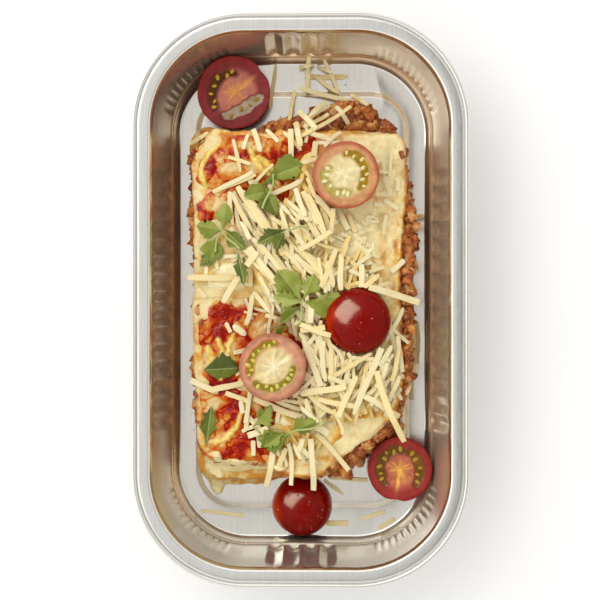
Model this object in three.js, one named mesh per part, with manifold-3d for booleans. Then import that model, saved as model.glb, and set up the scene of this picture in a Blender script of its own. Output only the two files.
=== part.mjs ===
// Foil tray meal: a smooth-rimmed aluminium foil tray that holds one block of lasagne with tomato
// sauce, a heap of grated cheese and six halved cherry tomatoes.
// Millimetres, +Z up. The origin is the middle of the tray's footprint, on the surface it stands on.
// +Y runs along the tray's long side.
import * as THREE from "three";
import { mergeVertices } from "three/addons/utils/BufferGeometryUtils.js";
import Module from "manifold-3d";

const wasm = await Module();
wasm.setup();

// ---- Driving dimensions ----

const TRAY = {
  length: 225, // over the rolled edge
  width: 132,
  height: 36, // to the top of the rolled edge
  cornerRadius: 44.4, // of the rolled edge, seen from above
  foil: 0.5, // wall thickness of the solid
  bead: 1.9, // width of the rolled edge
  beadDepth: 2.4, // from its crest to its underside
  flangeDrop: 0.8, // the flat flange lies this far under the crest
  rim: 7.2, // from the outer edge to the mouth
};
const WALL = {
  fluteTop: { inset: 7.9, z: 33.2 },
  fluteFullTop: { inset: 8.3, z: 31.2 },
  fluteFullFoot: { inset: 12.5, z: 12.0 },
  ledge: { inset: 13.7, z: 9.2 }, // small step inwards at the foot of the flutes
  skirtFoot: { inset: 14.4, z: 2.6 },
  floorEdge: { inset: 15.8 },
};
const FLUTE = { pitch: 7, depth: 1.1, onSide: 15, onEnd: 4 };
const PANEL = { halfWidth: 41.6, halfLength: 83.6, radius: 14, rise: 1, slope: 2.3 };
const CORNER_STEPS = 6;

const GAP = 0.3; // air left between two pieces that touch
const WAVE_SLACK = 0.3; // more of it where both faces are wavy, as their facets don't match

// The block of lasagne, from the tray's floor up. Outlines are half sizes about BLOCK.centre.
const BLOCK = { centre: [-1, -2], halfWidth: 42.4, halfLength: 69, cornerRadius: 7, taper: 0.045 };
const CUT_DIRECTION = [0.62, -0.784]; // the front right corner of the block is cut off across this line
const SHEET_THICKNESS = 1.6;
const MINCE_THICKNESS = 6.4;
const BLOCK_STEPS = { onSide: 10, onEnd: 8, corner: 3 };

const TOMATO = { height: 11.3, lip: 0.7, segments: 14 };
const TOMATOES = [
  // x, y, z are the middle of the cut face; tilt leans it about X and Y, in degrees
  { name: "tomato_back_left", at: [-27.4, 83.9, 13.7], radius: 14.8, cutUp: true, tilt: [3, 3] },
  { name: "tomato_top_back", at: [17.8, 48.9, 33.7], radius: 13.2, cutUp: true, tilt: [3, -4] },
  { name: "tomato_top_left", at: [-10.9, -26.4, 33.9], radius: 13.4, cutUp: true, tilt: [-3, -3] },
  { name: "tomato_front_right", at: [39.7, -68.3, 13.4], radius: 13.2, cutUp: true, tilt: [2, -5] },
  { name: "tomato_top_dome", at: [22.6, -8.3, 24.3], radius: 13.3, cutUp: false, tilt: [2, 2] },
  { name: "tomato_front_dome", at: [-0.1, -84.4, 1.9], radius: 12.5, cutUp: false, tilt: [0, 0] },
];

const LOOK = {
  foil: { color: "#c9cac8", roughness: 0.28, metalness: 1 },
  pasta: { color: "#ecd9a3", roughness: 0.5, metalness: 0 },
  mince: { color: "#9c4a22", roughness: 0.55, metalness: 0 },
  sauce: { color: "#c63a14", roughness: 0.3, metalness: 0 },
  cheese: { color: "#f6e3a6", roughness: 0.5, metalness: 0 },
  tomato: { color: "#a81c12", roughness: 0.2, metalness: 0 },
};

// ---- Rings and lofts ----

// A closed surface through a stack of rings that all have the same number of points. The rings run
// counter-clockwise seen from above, from the middle of the underside, over the outside, to the
// middle of the top. Each end closes in a fan on the ring's own mean point.
function loftGeometry(rings) {
  const count = rings[0].length;
  const positions = rings.flat(2);
  const triangles = [];
  rings.slice(1).forEach((_, ring) => {
    for (let i = 0; i < count; i += 1) {
      const j = (i + 1) % count;
      const [a, b] = [ring * count + i, ring * count + j];
      const [c, d] = [a + count, b + count];
      triangles.push(a, b, d, a, d, c);
    }
  });
  const capWithFan = (ring, facesUp) => {
    const middle = [0, 1, 2].map((axis) => ring.reduce((sum, p) => sum + p[axis], 0) / count);
    const hub = positions.length / 3;
    positions.push(...middle);
    const first = rings.indexOf(ring) * count;
    for (let i = 0; i < count; i += 1) {
      const [a, b] = [first + i, first + ((i + 1) % count)];
      triangles.push(...(facesUp ? [hub, a, b] : [hub, b, a]));
    }
  };
  capWithFan(rings[0], false);
  capWithFan(rings[rings.length - 1], true);
  const geometry = new THREE.BufferGeometry();
  geometry.setAttribute("position", new THREE.Float32BufferAttribute(positions, 3));
  geometry.setIndex(triangles);
  return geometry;
}

function solidOf(geometry) {
  const bare = geometry.clone();
  bare.deleteAttribute("normal");
  bare.deleteAttribute("uv");
  const merged = mergeVertices(bare, 1e-4);
  const mesh = new wasm.Mesh({
    numProp: 3,
    vertProperties: merged.attributes.position.array,
    triVerts: new Uint32Array(merged.index.array),
  });
  return new wasm.Manifold(mesh);
}

function geometryOf(solid) {
  const mesh = solid.getMesh();
  const geometry = new THREE.BufferGeometry();
  geometry.setAttribute("position", new THREE.BufferAttribute(mesh.vertProperties, 3));
  geometry.setIndex(new THREE.BufferAttribute(mesh.triVerts, 1));
  return geometry;
}

// ---- The foil tray ----

// Where a ring round a rounded rectangle has its points, as a place on the core rectangle between
// the corner centres, each half size 1, with the direction straight out and whether a flute is at
// its deepest there. Each side's points start at its first corner and leave out its last.
function stationsRound({ onSide, onEnd, cornerSteps }) {
  const quarter = Math.PI / 2;
  const stations = [];
  const sides = [
    { points: onSide, place: (s) => [1, s], heading: 0 },
    { points: onEnd, place: (s) => [-s, 1], heading: quarter },
    { points: onSide, place: (s) => [-1, -s], heading: 2 * quarter },
    { points: onEnd, place: (s) => [s, -1], heading: 3 * quarter },
  ];
  for (const { points, place, heading } of sides) {
    for (const { along, flute } of points) {
      const out = [Math.cos(heading), Math.sin(heading)];
      stations.push({ core: place(along), out, flute });
    }
    for (let i = 0; i < cornerSteps; i += 1) {
      const angle = heading + (quarter * i) / cornerSteps;
      stations.push({ core: place(1), out: [Math.cos(angle), Math.sin(angle)], flute: 0 });
    }
  }
  return stations;
}

function trayStations() {
  // The flutes of one straight side as shares of its core half length.
  const alongSide = (flutes, coreHalf) => {
    const points = [{ along: -1, flute: 0 }];
    for (let i = 0; i <= 2 * flutes; i += 1) {
      points.push({ along: ((i - flutes) * FLUTE.pitch) / 2 / coreHalf, flute: i % 2 });
    }
    return points;
  };
  return stationsRound({
    onSide: alongSide(FLUTE.onSide, TRAY.length / 2 - TRAY.cornerRadius),
    onEnd: alongSide(FLUTE.onEnd, TRAY.width / 2 - TRAY.cornerRadius),
    cornerSteps: CORNER_STEPS,
  });
}

function roundedRing(stations, { halfWidth, halfLength, radius, z, fluteDepth = 0 }) {
  return stations.map(({ core, out, flute }) => {
    const reach = radius + flute * fluteDepth;
    return [
      core[0] * (halfWidth - radius) + out[0] * reach,
      core[1] * (halfLength - radius) + out[1] * reach,
      z,
    ];
  });
}

function insetRing(stations, inset, z, fluteDepth = 0) {
  return roundedRing(stations, {
    halfWidth: TRAY.width / 2 - inset,
    halfLength: TRAY.length / 2 - inset,
    radius: TRAY.cornerRadius - inset,
    z,
    fluteDepth,
  });
}

function panelRing(stations, grow, z) {
  return roundedRing(stations, {
    halfWidth: PANEL.halfWidth + grow,
    halfLength: PANEL.halfLength + grow,
    radius: PANEL.radius + grow,
    z,
  });
}

function trayGeometry() {
  const stations = trayStations();
  const ring = (inset, z, fluteDepth) => insetRing(stations, inset, z, fluteDepth);
  const { foil, height, bead, beadDepth, flangeDrop, rim } = TRAY;
  const wall = [
    [WALL.floorEdge.inset, foil, 0],
    [WALL.skirtFoot.inset, WALL.skirtFoot.z, 0],
    [WALL.ledge.inset, WALL.ledge.z, 0],
    [WALL.fluteFullFoot.inset, WALL.fluteFullFoot.z, FLUTE.depth],
    [WALL.fluteFullTop.inset, WALL.fluteFullTop.z, FLUTE.depth],
    [WALL.fluteTop.inset, WALL.fluteTop.z, 0],
  ];
  const flange = height - flangeDrop;
  const underside = [
    panelRing(stations, 0, PANEL.rise),
    panelRing(stations, PANEL.slope, 0),
    ring(WALL.floorEdge.inset, 0),
  ];
  const outside = wall.slice(1).map(([inset, z, depth]) => ring(inset - foil, z, depth));
  const edge = [
    ring(rim - foil, flange - foil),
    ring(bead, flange - foil),
    ring(bead * 0.2, height - beadDepth),
    ring(0, height - bead * 0.6),
    ring(bead * 0.5, height),
    ring(bead, flange),
    ring(rim, flange),
  ];
  const inside = wall.map(([inset, z, depth]) => ring(inset, z, depth)).reverse();
  const floor = [
    panelRing(stations, PANEL.slope, foil),
    panelRing(stations, 0, PANEL.rise + foil),
  ];
  return loftGeometry([...underside, ...outside, ...edge, ...inside, ...floor]);
}

// ---- The block of lasagne ----

// A slow rise and fall of the top pasta sheet, from 0 to about 1.6 mm, which the layers near it share.
function sheetWave(x, y) {
  return 0.8 + 0.45 * Math.sin(x / 11 + 1) * Math.cos(y / 17) + 0.35 * Math.sin(y / 9 + x / 23);
}

function powerOf(value, exponent) {
  return Math.sign(value) * Math.abs(value) ** exponent;
}

function blockStations() {
  const evenly = (steps) =>
    Array.from({ length: steps }, (_, i) => ({ along: (2 * i) / steps - 1, flute: 0 }));
  return stationsRound({
    onSide: evenly(BLOCK_STEPS.onSide),
    onEnd: evenly(BLOCK_STEPS.onEnd),
    cornerSteps: BLOCK_STEPS.corner,
  });
}

// The outline of one layer, as points on a rounded rectangle that is narrower at the front, with
// its front right corner cut off, a ragged edge, and any bulges that the layer has.
function blockOutline({ grow = 0, cut, ragged, phase, bulge = () => [0, 0] }) {
  const { centre, halfWidth, halfLength, cornerRadius, taper } = BLOCK;
  return blockStations().map(({ core, out }) => {
    const angle = Math.atan2(core[1] + out[1], core[0] + out[0]);
    const rough = ragged * (Math.sin(5 * angle + phase) + 0.7 * Math.sin(11 * angle + 2 * phase));
    const reach = cornerRadius + grow + rough;
    let x = core[0] * (halfWidth - cornerRadius) + out[0] * reach;
    let y = core[1] * (halfLength - cornerRadius) + out[1] * reach;
    x *= 1 - taper * (1 - y / halfLength) * 0.5;
    x += centre[0];
    y += centre[1];
    const [pushX, pushY] = bulge(x, y);
    x += pushX;
    y += pushY;
    const past = Math.max(0, x * CUT_DIRECTION[0] + y * CUT_DIRECTION[1] - cut);
    return [x - past * CUT_DIRECTION[0], y - past * CUT_DIRECTION[1]];
  });
}

// An outline drawn in towards the block's middle by a share, at heights that a function gives.
function layerRing(outline, share, height) {
  const [cx, cy] = BLOCK.centre;
  return outline.map(([x, y]) => {
    const [px, py] = [cx + (x - cx) * share, cy + (y - cy) * share];
    return [px, py, height(px, py)];
  });
}

// A layer with a flat underside at z, as thick as stated. Its side swells outwards by `swell`.
function layerGeometry({ outline, z, thickness, swell, wavyTop = false, wavyUnder = false }) {
  const under = (x, y) => z + (wavyUnder ? sheetWave(x, y) : 0);
  const top = (x, y) => z + thickness + (wavyTop ? sheetWave(x, y) : 0);
  const between = (share) => (x, y) => under(x, y) + share * (top(x, y) - under(x, y));
  const innerShares = (wavy) => (wavy ? [0.3, 0.65] : []);
  const width = BLOCK.halfWidth;
  return loftGeometry([
    ...innerShares(wavyUnder).map((share) => layerRing(outline, share, under)),
    layerRing(outline, 1 - 0.5 * (swell / width), under),
    layerRing(outline, 1 + swell / width, between(0.35)),
    layerRing(outline, 1 + 0.8 * (swell / width), between(0.75)),
    layerRing(outline, 1 - 0.8 * (swell / width), top),
    ...innerShares(wavyTop).reverse().map((share) => layerRing(outline, share, top)),
  ]);
}

function smoothBump(distance, reach) {
  return Math.exp(-((distance / reach) ** 4));
}

// How far a layer is pushed out of the plain outline: mince along the right side, mince at the back
// that has run onto the tray in a large and a small heap, and the slanting front left corner, where
// the low layers stick out under the high ones.
function bulgeOf({ side = 0, back = 0, front = 0 }) {
  return (x, y) => [
    x > 25 && side > 0 ? side * smoothBump(y - 2, 46) + 2.4 * smoothBump(y - 26, 13) : 0,
    y > 55
      ? back * (smoothBump(x - 17.5, 14) + 0.4 * smoothBump(x + 6, 9))
      : front * frontLeftShare(x, y),
  ];
}

function frontLeftShare(x, y) {
  return THREE.MathUtils.smoothstep(-x, 4, 18) * THREE.MathUtils.smoothstep(-y, 35, 60);
}

const blockFloor = TRAY.foil + PANEL.rise + GAP;
const levels = {
  sheetBottom: blockFloor,
  minceLower: blockFloor + SHEET_THICKNESS + GAP,
  sheetMiddle: blockFloor + SHEET_THICKNESS + MINCE_THICKNESS + 2 * GAP,
  minceUpper: blockFloor + 2 * SHEET_THICKNESS + MINCE_THICKNESS + 3 * GAP,
  sheetTop: blockFloor + 2 * SHEET_THICKNESS + 2 * MINCE_THICKNESS + 4 * GAP,
};

const LAYERS = [
  {
    name: "pasta_sheet_bottom",
    look: LOOK.pasta,
    z: levels.sheetBottom,
    thickness: SHEET_THICKNESS,
    swell: 0.3,
    outline: { cut: 63, ragged: 0.25, phase: 0.4, bulge: bulgeOf({ front: -4.5 }) },
  },
  {
    name: "mince_lower",
    look: LOOK.mince,
    z: levels.minceLower,
    thickness: MINCE_THICKNESS,
    swell: 0.9,
    outline: {
      grow: 0.6,
      cut: 65,
      ragged: 0.5,
      phase: 1.3,
      bulge: bulgeOf({ side: 2, back: 12, front: -3.5 }),
    },
  },
  {
    name: "pasta_sheet_middle",
    look: LOOK.pasta,
    z: levels.sheetMiddle,
    thickness: SHEET_THICKNESS,
    swell: 0.3,
    outline: { grow: 0.2, cut: 62, ragged: 0.3, phase: 2.6, bulge: bulgeOf({ front: -1 }) },
  },
  {
    name: "mince_upper",
    look: LOOK.mince,
    z: levels.minceUpper,
    thickness: MINCE_THICKNESS - WAVE_SLACK,
    swell: 0.8,
    wavyTop: true,
    outline: {
      grow: 0.3,
      cut: 62.5,
      ragged: 0.45,
      phase: 3.9,
      bulge: bulgeOf({ side: 2.6, front: 2.5 }),
    },
  },
  {
    name: "pasta_sheet_top",
    look: LOOK.pasta,
    z: levels.sheetTop,
    thickness: SHEET_THICKNESS,
    swell: 0.3,
    wavyTop: true,
    wavyUnder: true,
    outline: { cut: 59.6, ragged: 0.45, phase: 5.2, bulge: bulgeOf({ front: 6.5 }) },
  },
];

// ---- What lies on the block ----

function blockTop(x, y) {
  return levels.sheetTop + SHEET_THICKNESS + sheetWave(x, y);
}

// A low mound with an uneven outline and a lumpy top, whose underside dips into the top sheet.
// `spread` makes it larger all over, which is the shape that is cut out of whatever lies over it.
function moundGeometry({ centre, half, height, lumps, phase, stations, spread = 0 }) {
  const shares = [1, 0.78, 0.4];
  const ringAt = (share, heightAt) =>
    Array.from({ length: stations }, (_, i) => {
      const angle = (2 * Math.PI * i) / stations;
      const rough = 1 + 0.07 * Math.sin(3 * angle + phase) + 0.05 * Math.sin(7 * angle + 2 * phase);
      const x = centre[0] + share * (half[0] * rough * powerOf(Math.cos(angle), 0.75) + spread * Math.cos(angle));
      const y = centre[1] + share * (half[1] * rough * powerOf(Math.sin(angle), 0.75) + spread * Math.sin(angle));
      return [x, y, heightAt(x, y, share)];
    });
  const under = (x, y) => blockTop(x, y) - MOUND_DIP - spread;
  const top = (x, y, share) => {
    const crown = 0.3 + 0.7 * (1 - share ** 3);
    const lump = lumps * Math.sin(x / 4.1 + phase) * Math.cos(y / 5.3 - phase);
    return blockTop(x, y) + GAP + (height + lump) * crown + spread;
  };
  return loftGeometry([
    ...[...shares].reverse().map((share) => ringAt(share, under)),
    ...shares.map((share) => ringAt(share, top)),
  ]);
}

const MOUND_DIP = 0.7;
const SAUCES = [
  {
    name: "tomato_sauce_back",
    centre: [-21, 48.5],
    half: [20, 16],
    height: 1.5,
    lumps: 0.3,
    phase: 0.7,
    stations: 18,
  },
  {
    name: "tomato_sauce_front",
    centre: [-18, -29],
    half: [22, 31],
    height: 1.5,
    lumps: 0.35,
    phase: 2.1,
    stations: 22,
  },
];
const CHEESE_HEAP = {
  centre: [4.5, 3],
  half: [31, 64],
  height: 3.6,
  lumps: 0.45,
  phase: 1.1,
  stations: 26,
};

// Half a cherry tomato, turned about Z, with its cut face in the plane z = 0 and its skin below.
function tomatoGeometry(radius, spread = 0) {
  const [r, h] = [radius + spread, TOMATO.height + spread];
  const steps = 6;
  const skin = Array.from({ length: steps }, (_, i) => {
    const angle = (Math.PI / 2) * (i / steps);
    return new THREE.Vector2(r * Math.sin(angle) ** 0.92, -h * Math.cos(angle) ** 0.92);
  });
  const cutFace = [
    new THREE.Vector2(r, -TOMATO.lip),
    new THREE.Vector2(r - 0.6 * TOMATO.lip, spread),
    new THREE.Vector2(0, spread),
  ];
  return new THREE.LatheGeometry([...skin, ...cutFace], TOMATO.segments).rotateX(Math.PI / 2);
}

function place(object, { at, cutUp, tilt }) {
  const [tiltX, tiltY] = tilt.map(THREE.MathUtils.degToRad);
  object.position.set(...at);
  object.rotation.set(tiltX + (cutUp ? 0 : Math.PI), tiltY, 0);
  object.updateMatrix();
  return object;
}

// The largest piece that is left of a mound once each of the other solids is cut from it.
function cutMound(mound, others) {
  const pieces = others.reduce((left, taken) => left.subtract(taken), solidOf(mound)).decompose();
  return geometryOf(pieces.reduce((best, piece) => (piece.volume() > best.volume() ? piece : best)));
}

function layerOf({ outline, ...layer }) {
  return layerGeometry({ ...layer, outline: blockOutline(outline) });
}

// The room that a tomato takes, with the gap round it.
function tomatoRoom(tomato) {
  const geometry = tomatoGeometry(tomato.radius, GAP);
  return solidOf(geometry.applyMatrix4(place(new THREE.Object3D(), tomato).matrix));
}

// ---- The whole object ----

function named(name, geometry, look) {
  const mesh = new THREE.Mesh(geometry, new THREE.MeshStandardMaterial(look));
  mesh.name = name;
  return mesh;
}

const meal = new THREE.Group();
meal.add(named("foil_tray", trayGeometry(), LOOK.foil));
for (const layer of LAYERS) {
  meal.add(named(layer.name, layerOf(layer), layer.look));
}
const topSheet = LAYERS[LAYERS.length - 1];
const topSheetRoom = solidOf(
  layerOf({
    ...topSheet,
    thickness: topSheet.thickness + GAP,
    outline: { ...topSheet.outline, grow: GAP, cut: topSheet.outline.cut + GAP },
  }),
);
const roomInSauce = [topSheetRoom, ...TOMATOES.map(tomatoRoom)];
for (const sauce of SAUCES) {
  meal.add(named(sauce.name, cutMound(moundGeometry(sauce), roomInSauce), LOOK.sauce));
}
const sauceRooms = SAUCES.map((sauce) => solidOf(moundGeometry({ ...sauce, spread: GAP })));
const cheese = cutMound(moundGeometry(CHEESE_HEAP), [...roomInSauce, ...sauceRooms]);
meal.add(named("grated_cheese", cheese, LOOK.cheese));
for (const tomato of TOMATOES) {
  meal.add(place(named(tomato.name, tomatoGeometry(tomato.radius), LOOK.tomato), tomato));
}

export default meal;
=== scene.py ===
# Foil tray meal: a block of lasagne under tomato sauce, melted and grated cheese, halved cherry
# tomatoes and parsley, in a pressed aluminium tray. Sizes are millimetres until a mesh is made.
import itertools
import math

import bmesh
import bpy
import numpy as np
from mathutils import Matrix, Vector
from mathutils.bvhtree import BVHTree


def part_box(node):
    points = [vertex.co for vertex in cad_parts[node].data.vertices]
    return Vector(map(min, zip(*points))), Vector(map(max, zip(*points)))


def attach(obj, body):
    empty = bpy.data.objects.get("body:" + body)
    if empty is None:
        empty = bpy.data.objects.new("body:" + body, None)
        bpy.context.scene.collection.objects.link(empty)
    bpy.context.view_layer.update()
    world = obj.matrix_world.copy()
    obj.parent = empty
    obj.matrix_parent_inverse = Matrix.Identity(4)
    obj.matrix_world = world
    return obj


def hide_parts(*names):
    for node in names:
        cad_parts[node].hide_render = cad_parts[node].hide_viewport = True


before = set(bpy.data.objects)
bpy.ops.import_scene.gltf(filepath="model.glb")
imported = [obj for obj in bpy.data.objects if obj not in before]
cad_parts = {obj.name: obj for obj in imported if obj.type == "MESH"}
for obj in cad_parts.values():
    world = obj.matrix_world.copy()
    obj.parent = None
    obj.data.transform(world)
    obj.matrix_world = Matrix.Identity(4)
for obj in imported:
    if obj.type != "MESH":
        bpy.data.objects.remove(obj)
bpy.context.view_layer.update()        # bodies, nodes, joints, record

MM = 0.001
UP = np.array([0.0, 0.0, 1.0])


# ---- Numbers ----

def box_mm(node):
    """A CAD node's lowest and highest corners in millimetres."""
    low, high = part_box(node)
    return np.array(low) / MM, np.array(high) / MM


def in_metres(sizes):
    return {name: size * MM for name, size in sizes.items()}


def smooth(low, high, value):
    """0 below low, 1 above high, and a smooth S between them."""
    share = np.clip((np.asarray(value, float) - low) / (high - low), 0, 1)
    return share * share * (3 - 2 * share)


def lattice(cell, seed):
    """A fixed random number from -1 to 1 for each whole-number cell."""
    mixed = np.full(len(cell), 374761393 * (seed + 1), np.int64)
    for axis, prime in zip(range(cell.shape[1]), (668265263, 2147483647, 1274126177)):
        mixed ^= cell[:, axis] * prime
        mixed = (mixed ^ (mixed >> 13)) * 1103515245 & 0xFFFFFFFF
    return (mixed >> 8 & 0xFFFF) / 32767.5 - 1


def noise(points, size, seed=0):
    """Smooth noise from -1 to 1 at each point, with bumps about `size` apart."""
    grid = np.asarray(points, float) / size + 1000.5
    cell = np.floor(grid).astype(np.int64)
    part = grid - cell
    part = part * part * (3 - 2 * part)
    total = np.zeros(len(grid))
    for corner in itertools.product((0, 1), repeat=grid.shape[1]):
        weight = np.prod(np.where(corner, part, 1 - part), axis=1)
        total += weight * lattice(cell + np.array(corner), seed)
    return total


def fractal(points, size, octaves=3, seed=0):
    """Noise with finer and fainter noise on top."""
    return sum(noise(points, size / 2**k, seed + 17 * k) / 1.8**k for k in range(octaves))


def oval_distances(flat, ovals):
    """How far off each place is from each oval, as 0 at its middle and 1 at its edge, with what
    the oval's row says after its middle and its half sizes."""
    for x, y, half_x, half_y, *rest in ovals:
        yield np.hypot((flat[:, 0] - x) / half_x, (flat[:, 1] - y) / half_y), *rest


def oval_field(flat, ovals):
    """1 at the middle of the nearest oval, 0 at its edge, and below 0 outside."""
    return 1 - np.min([away for away, in oval_distances(flat, ovals)], axis=0)


# ---- Meshes ----

def new_piece(name, points, faces, attributes=None, edges=()):
    """A mesh object at the origin from points in millimetres, with one number a point per attribute."""
    mesh = bpy.data.meshes.new(name)
    mesh.from_pydata((np.asarray(points, float) * MM).tolist(), edges, faces)
    for key, values in (attributes or {}).items():
        values = np.asarray(values, np.float32)
        kind = "FLOAT" if values.ndim == 1 else "FLOAT_VECTOR"
        field = "value" if values.ndim == 1 else "vector"
        mesh.attributes.new(key, kind, "POINT").data.foreach_set(field, values.ravel())
    mesh.polygons.foreach_set("use_smooth", [True] * len(mesh.polygons))
    mesh.update()
    obj = bpy.data.objects.new(name, mesh)
    bpy.context.scene.collection.objects.link(obj)
    return obj


def loft(rings):
    """Points and faces of the closed surface through a stack of equal rings. The rings run
    counter-clockwise seen from above, from the underside's middle, over the outside, to the top's
    middle, and a fan on its own mean point closes each end."""
    rings = np.asarray(rings, float)
    levels, count, _ = rings.shape
    points = np.vstack([rings.reshape(-1, 3), rings[0].mean(0), rings[-1].mean(0)])
    i = np.arange(count)
    j = (i + 1) % count
    faces = []
    for level in range(levels - 1):
        a, b = level * count + i, level * count + j
        faces.extend(np.stack([a, b, b + count, a + count], 1).tolist())
    under, top, last = levels * count, levels * count + 1, (levels - 1) * count
    faces.extend(np.stack([np.full(count, under), j, i], 1).tolist())
    faces.extend(np.stack([np.full(count, top), last + i, last + j], 1).tolist())
    return points, faces


def join(parts):
    """One list of points and faces out of several."""
    points, faces, start = [], [], 0
    for part_points, part_faces in parts:
        points.append(part_points)
        faces.extend([start + v for v in face] for face in part_faces)
        start += len(part_points)
    return np.vstack(points), faces


def ray_tree(pieces):
    """The faces of some pieces, for rays in millimetres."""
    parts = [([vertex.co / MM for vertex in piece.data.vertices],
              [face.vertices for face in piece.data.polygons]) for piece in pieces]
    points, faces = join(parts)
    return BVHTree.FromPolygons(points.tolist(), faces)


def grid_over(low, high, step):
    """Places some millimetres apart from one corner to the other, in rows and as one list."""
    xs, ys = (np.arange(start, end, step) for start, end in zip(low, high))
    grid = np.stack(np.meshgrid(xs, ys, indexing="ij"), -1)
    return grid, grid.reshape(-1, 2)


def slab_piece(name, grid, top, under, kept, looks):
    """A closed slab over the kept places of a grid, between its upper and its lower heights. The
    looks are numbers for each place of the grid."""
    rows, columns, _ = grid.shape
    flat = grid.reshape(-1, 2)
    number = np.arange(rows * columns).reshape(rows, columns)
    cells = np.stack([number[:-1, :-1], number[1:, :-1], number[1:, 1:], number[:-1, 1:]], -1)
    cells = cells.reshape(-1, 4)
    cells = cells[kept[cells].all(axis=1)]
    below = rows * columns
    sides = {(int(a), int(b)) for cell in cells for a, b in zip(cell, np.roll(cell, -1))}
    rim = sorted([b, a, a + below, b + below] for a, b in sides if (b, a) not in sides)
    faces = np.vstack([cells, cells[:, ::-1] + below, rim])
    used = np.unique(faces)
    place = np.zeros(2 * below, int)
    place[used] = np.arange(len(used))
    points = np.vstack([np.column_stack([flat, top]), np.column_stack([flat, under])])
    attributes = {key: np.tile(look, 2)[used] for key, look in looks.items()}
    return new_piece(name, points[used], place[faces].tolist(), attributes)


def finish_piece(piece, material, replaced=()):
    """Gives a finished piece its material, its body and the CAD nodes it stands for."""
    piece.data.materials.clear()
    piece.data.materials.append(material)
    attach(piece, "root")
    if replaced:
        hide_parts(*replaced)
    return piece


# ---- Node trees ----

def add(tree, kind, inputs=(), stops=None, **settings):
    """One node with its settings. Its inputs are listed in order, or named. Each is a value, a node,
    whose first output in use is linked, or a node with the name or number of an output. Stops are
    a ramp's places and hex colours."""
    node = tree.nodes.new(kind)
    for key, value in settings.items():
        setattr(node, key, value)
    if stops:
        ramp = node.color_ramp.elements
        ramp.remove(ramp[1])
        ramp[0].position = stops[0][0]
        for place, _ in stops[1:]:
            ramp.new(place)
        for element, (_, colour) in zip(ramp, stops):
            element.color = linear(colour)
    named = inputs if isinstance(inputs, dict) else dict(enumerate(inputs))
    for key, value in named.items():
        if isinstance(value, bpy.types.Node):
            used = [i for i, output in enumerate(value.outputs) if output.enabled]
            value = (value, used[0])
        if isinstance(value, tuple) and isinstance(value[0], bpy.types.Node):
            tree.links.new(value[0].outputs[value[1]], node.inputs[key])
        else:
            node.inputs[key].default_value = value
    return node


def linear(colour):
    """An sRGB hex colour as linear red, green, blue and alpha."""
    shares = [int(colour[i:i + 2], 16) / 255 for i in (1, 3, 5)]
    return [c / 12.92 if c <= 0.04045 else ((c + 0.055) / 1.055) ** 2.4 for c in shares] + [1.0]


def new_material(name, *carried):
    """An empty material, its node tree, and the outputs that give the numbers which a piece's
    points carry under those names."""
    material = bpy.data.materials.new(name)
    material.use_nodes = True
    tree = material.node_tree
    tree.nodes.clear()
    readers = [add(tree, "ShaderNodeAttribute", attribute_name=key) for key in carried]
    return material, tree, *((reader, "Fac") for reader in readers)


def surfaced(material, inputs, relief=(), glow=(0, (1, 1, 1), 1)):
    """The material with one principled surface, whose inputs are given by name. Each row of its
    relief is a noise and how far it rises in millimetres. The glow is how much light goes in, how
    far its red, green and blue spread, and over how many millimetres."""
    tree = material.node_tree
    for height, distance in relief:
        bump = {"Height": height, "Strength": 1.0, "Distance": distance * MM}
        if "Normal" in inputs:
            bump["Normal"] = inputs["Normal"]
        inputs["Normal"] = add(tree, "ShaderNodeBump", bump)
    weight, spread, size = glow
    surface = add(tree, "ShaderNodeBsdfPrincipled", {
        **inputs, "Subsurface Weight": weight, "Subsurface Radius": spread,
        "Subsurface Scale": size * MM})
    add(tree, "ShaderNodeOutputMaterial", {"Surface": surface})
    return material


def grain_of(tree, size, detail=3.0, roughness=0.55):
    """Even noise on the object's own place, with bumps of a real size in millimetres."""
    place = (add(tree, "ShaderNodeTexCoord"), "Object")
    return add(tree, "ShaderNodeTexNoise", {
        "Vector": place, "Scale": 1 / (size * MM), "Detail": detail, "Roughness": roughness})


def shifted(tree, level, patches, depth, **settings):
    """A level that a noise moves up and down, by half of `depth` each way."""
    shift = add(tree, "ShaderNodeMath", [patches, depth, -depth / 2],
                operation="MULTIPLY_ADD")
    return add(tree, "ShaderNodeMath", [level, shift], operation="ADD", **settings)


def open_tree(name, inputs):
    """Geometry Nodes that take a mesh, some inputs with their kinds and a material. Returns the
    tree and the node that gives what it takes."""
    tree = bpy.data.node_groups.new(name, "GeometryNodeTree")
    for socket, kind in {"Geometry": "Geometry", **inputs, "Material": "Material"}.items():
        tree.interface.new_socket(socket, in_out="INPUT", socket_type="NodeSocket" + kind)
    tree.interface.new_socket("Geometry", in_out="OUTPUT", socket_type="NodeSocketGeometry")
    return tree, add(tree, "NodeGroupInput")


def close_tree(tree, given, geometry):
    """Makes what a tree made real, with its material, and gives it out."""
    real = add(tree, "GeometryNodeRealizeInstances", {"Geometry": geometry})
    finished = add(tree, "GeometryNodeSetMaterial", {
        "Geometry": real, "Material": (given, "Material")})
    add(tree, "NodeGroupOutput", {"Geometry": finished})
    return tree


def run_tree(piece, tree, material, inputs):
    """Gives a piece the mesh that a Geometry Nodes tree makes of it, with the inputs by name."""
    modifier = piece.modifiers.new(tree.name, "NODES")
    modifier.node_group = tree
    values = {**inputs, "Material": material}
    for socket in tree.interface.items_tree:
        if socket.in_out == "INPUT" and socket.name in values:
            modifier[socket.identifier] = values[socket.name]
    evaluated = piece.evaluated_get(bpy.context.evaluated_depsgraph_get())
    mesh = bpy.data.meshes.new_from_object(evaluated)
    piece.modifiers.remove(modifier)
    piece.data = mesh


# ---- Camera, floor and light ----

CAMERA = {"x": 16, "above_rim": 600, "frame_width": 233.6}
SENSOR = 36.0


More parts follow.
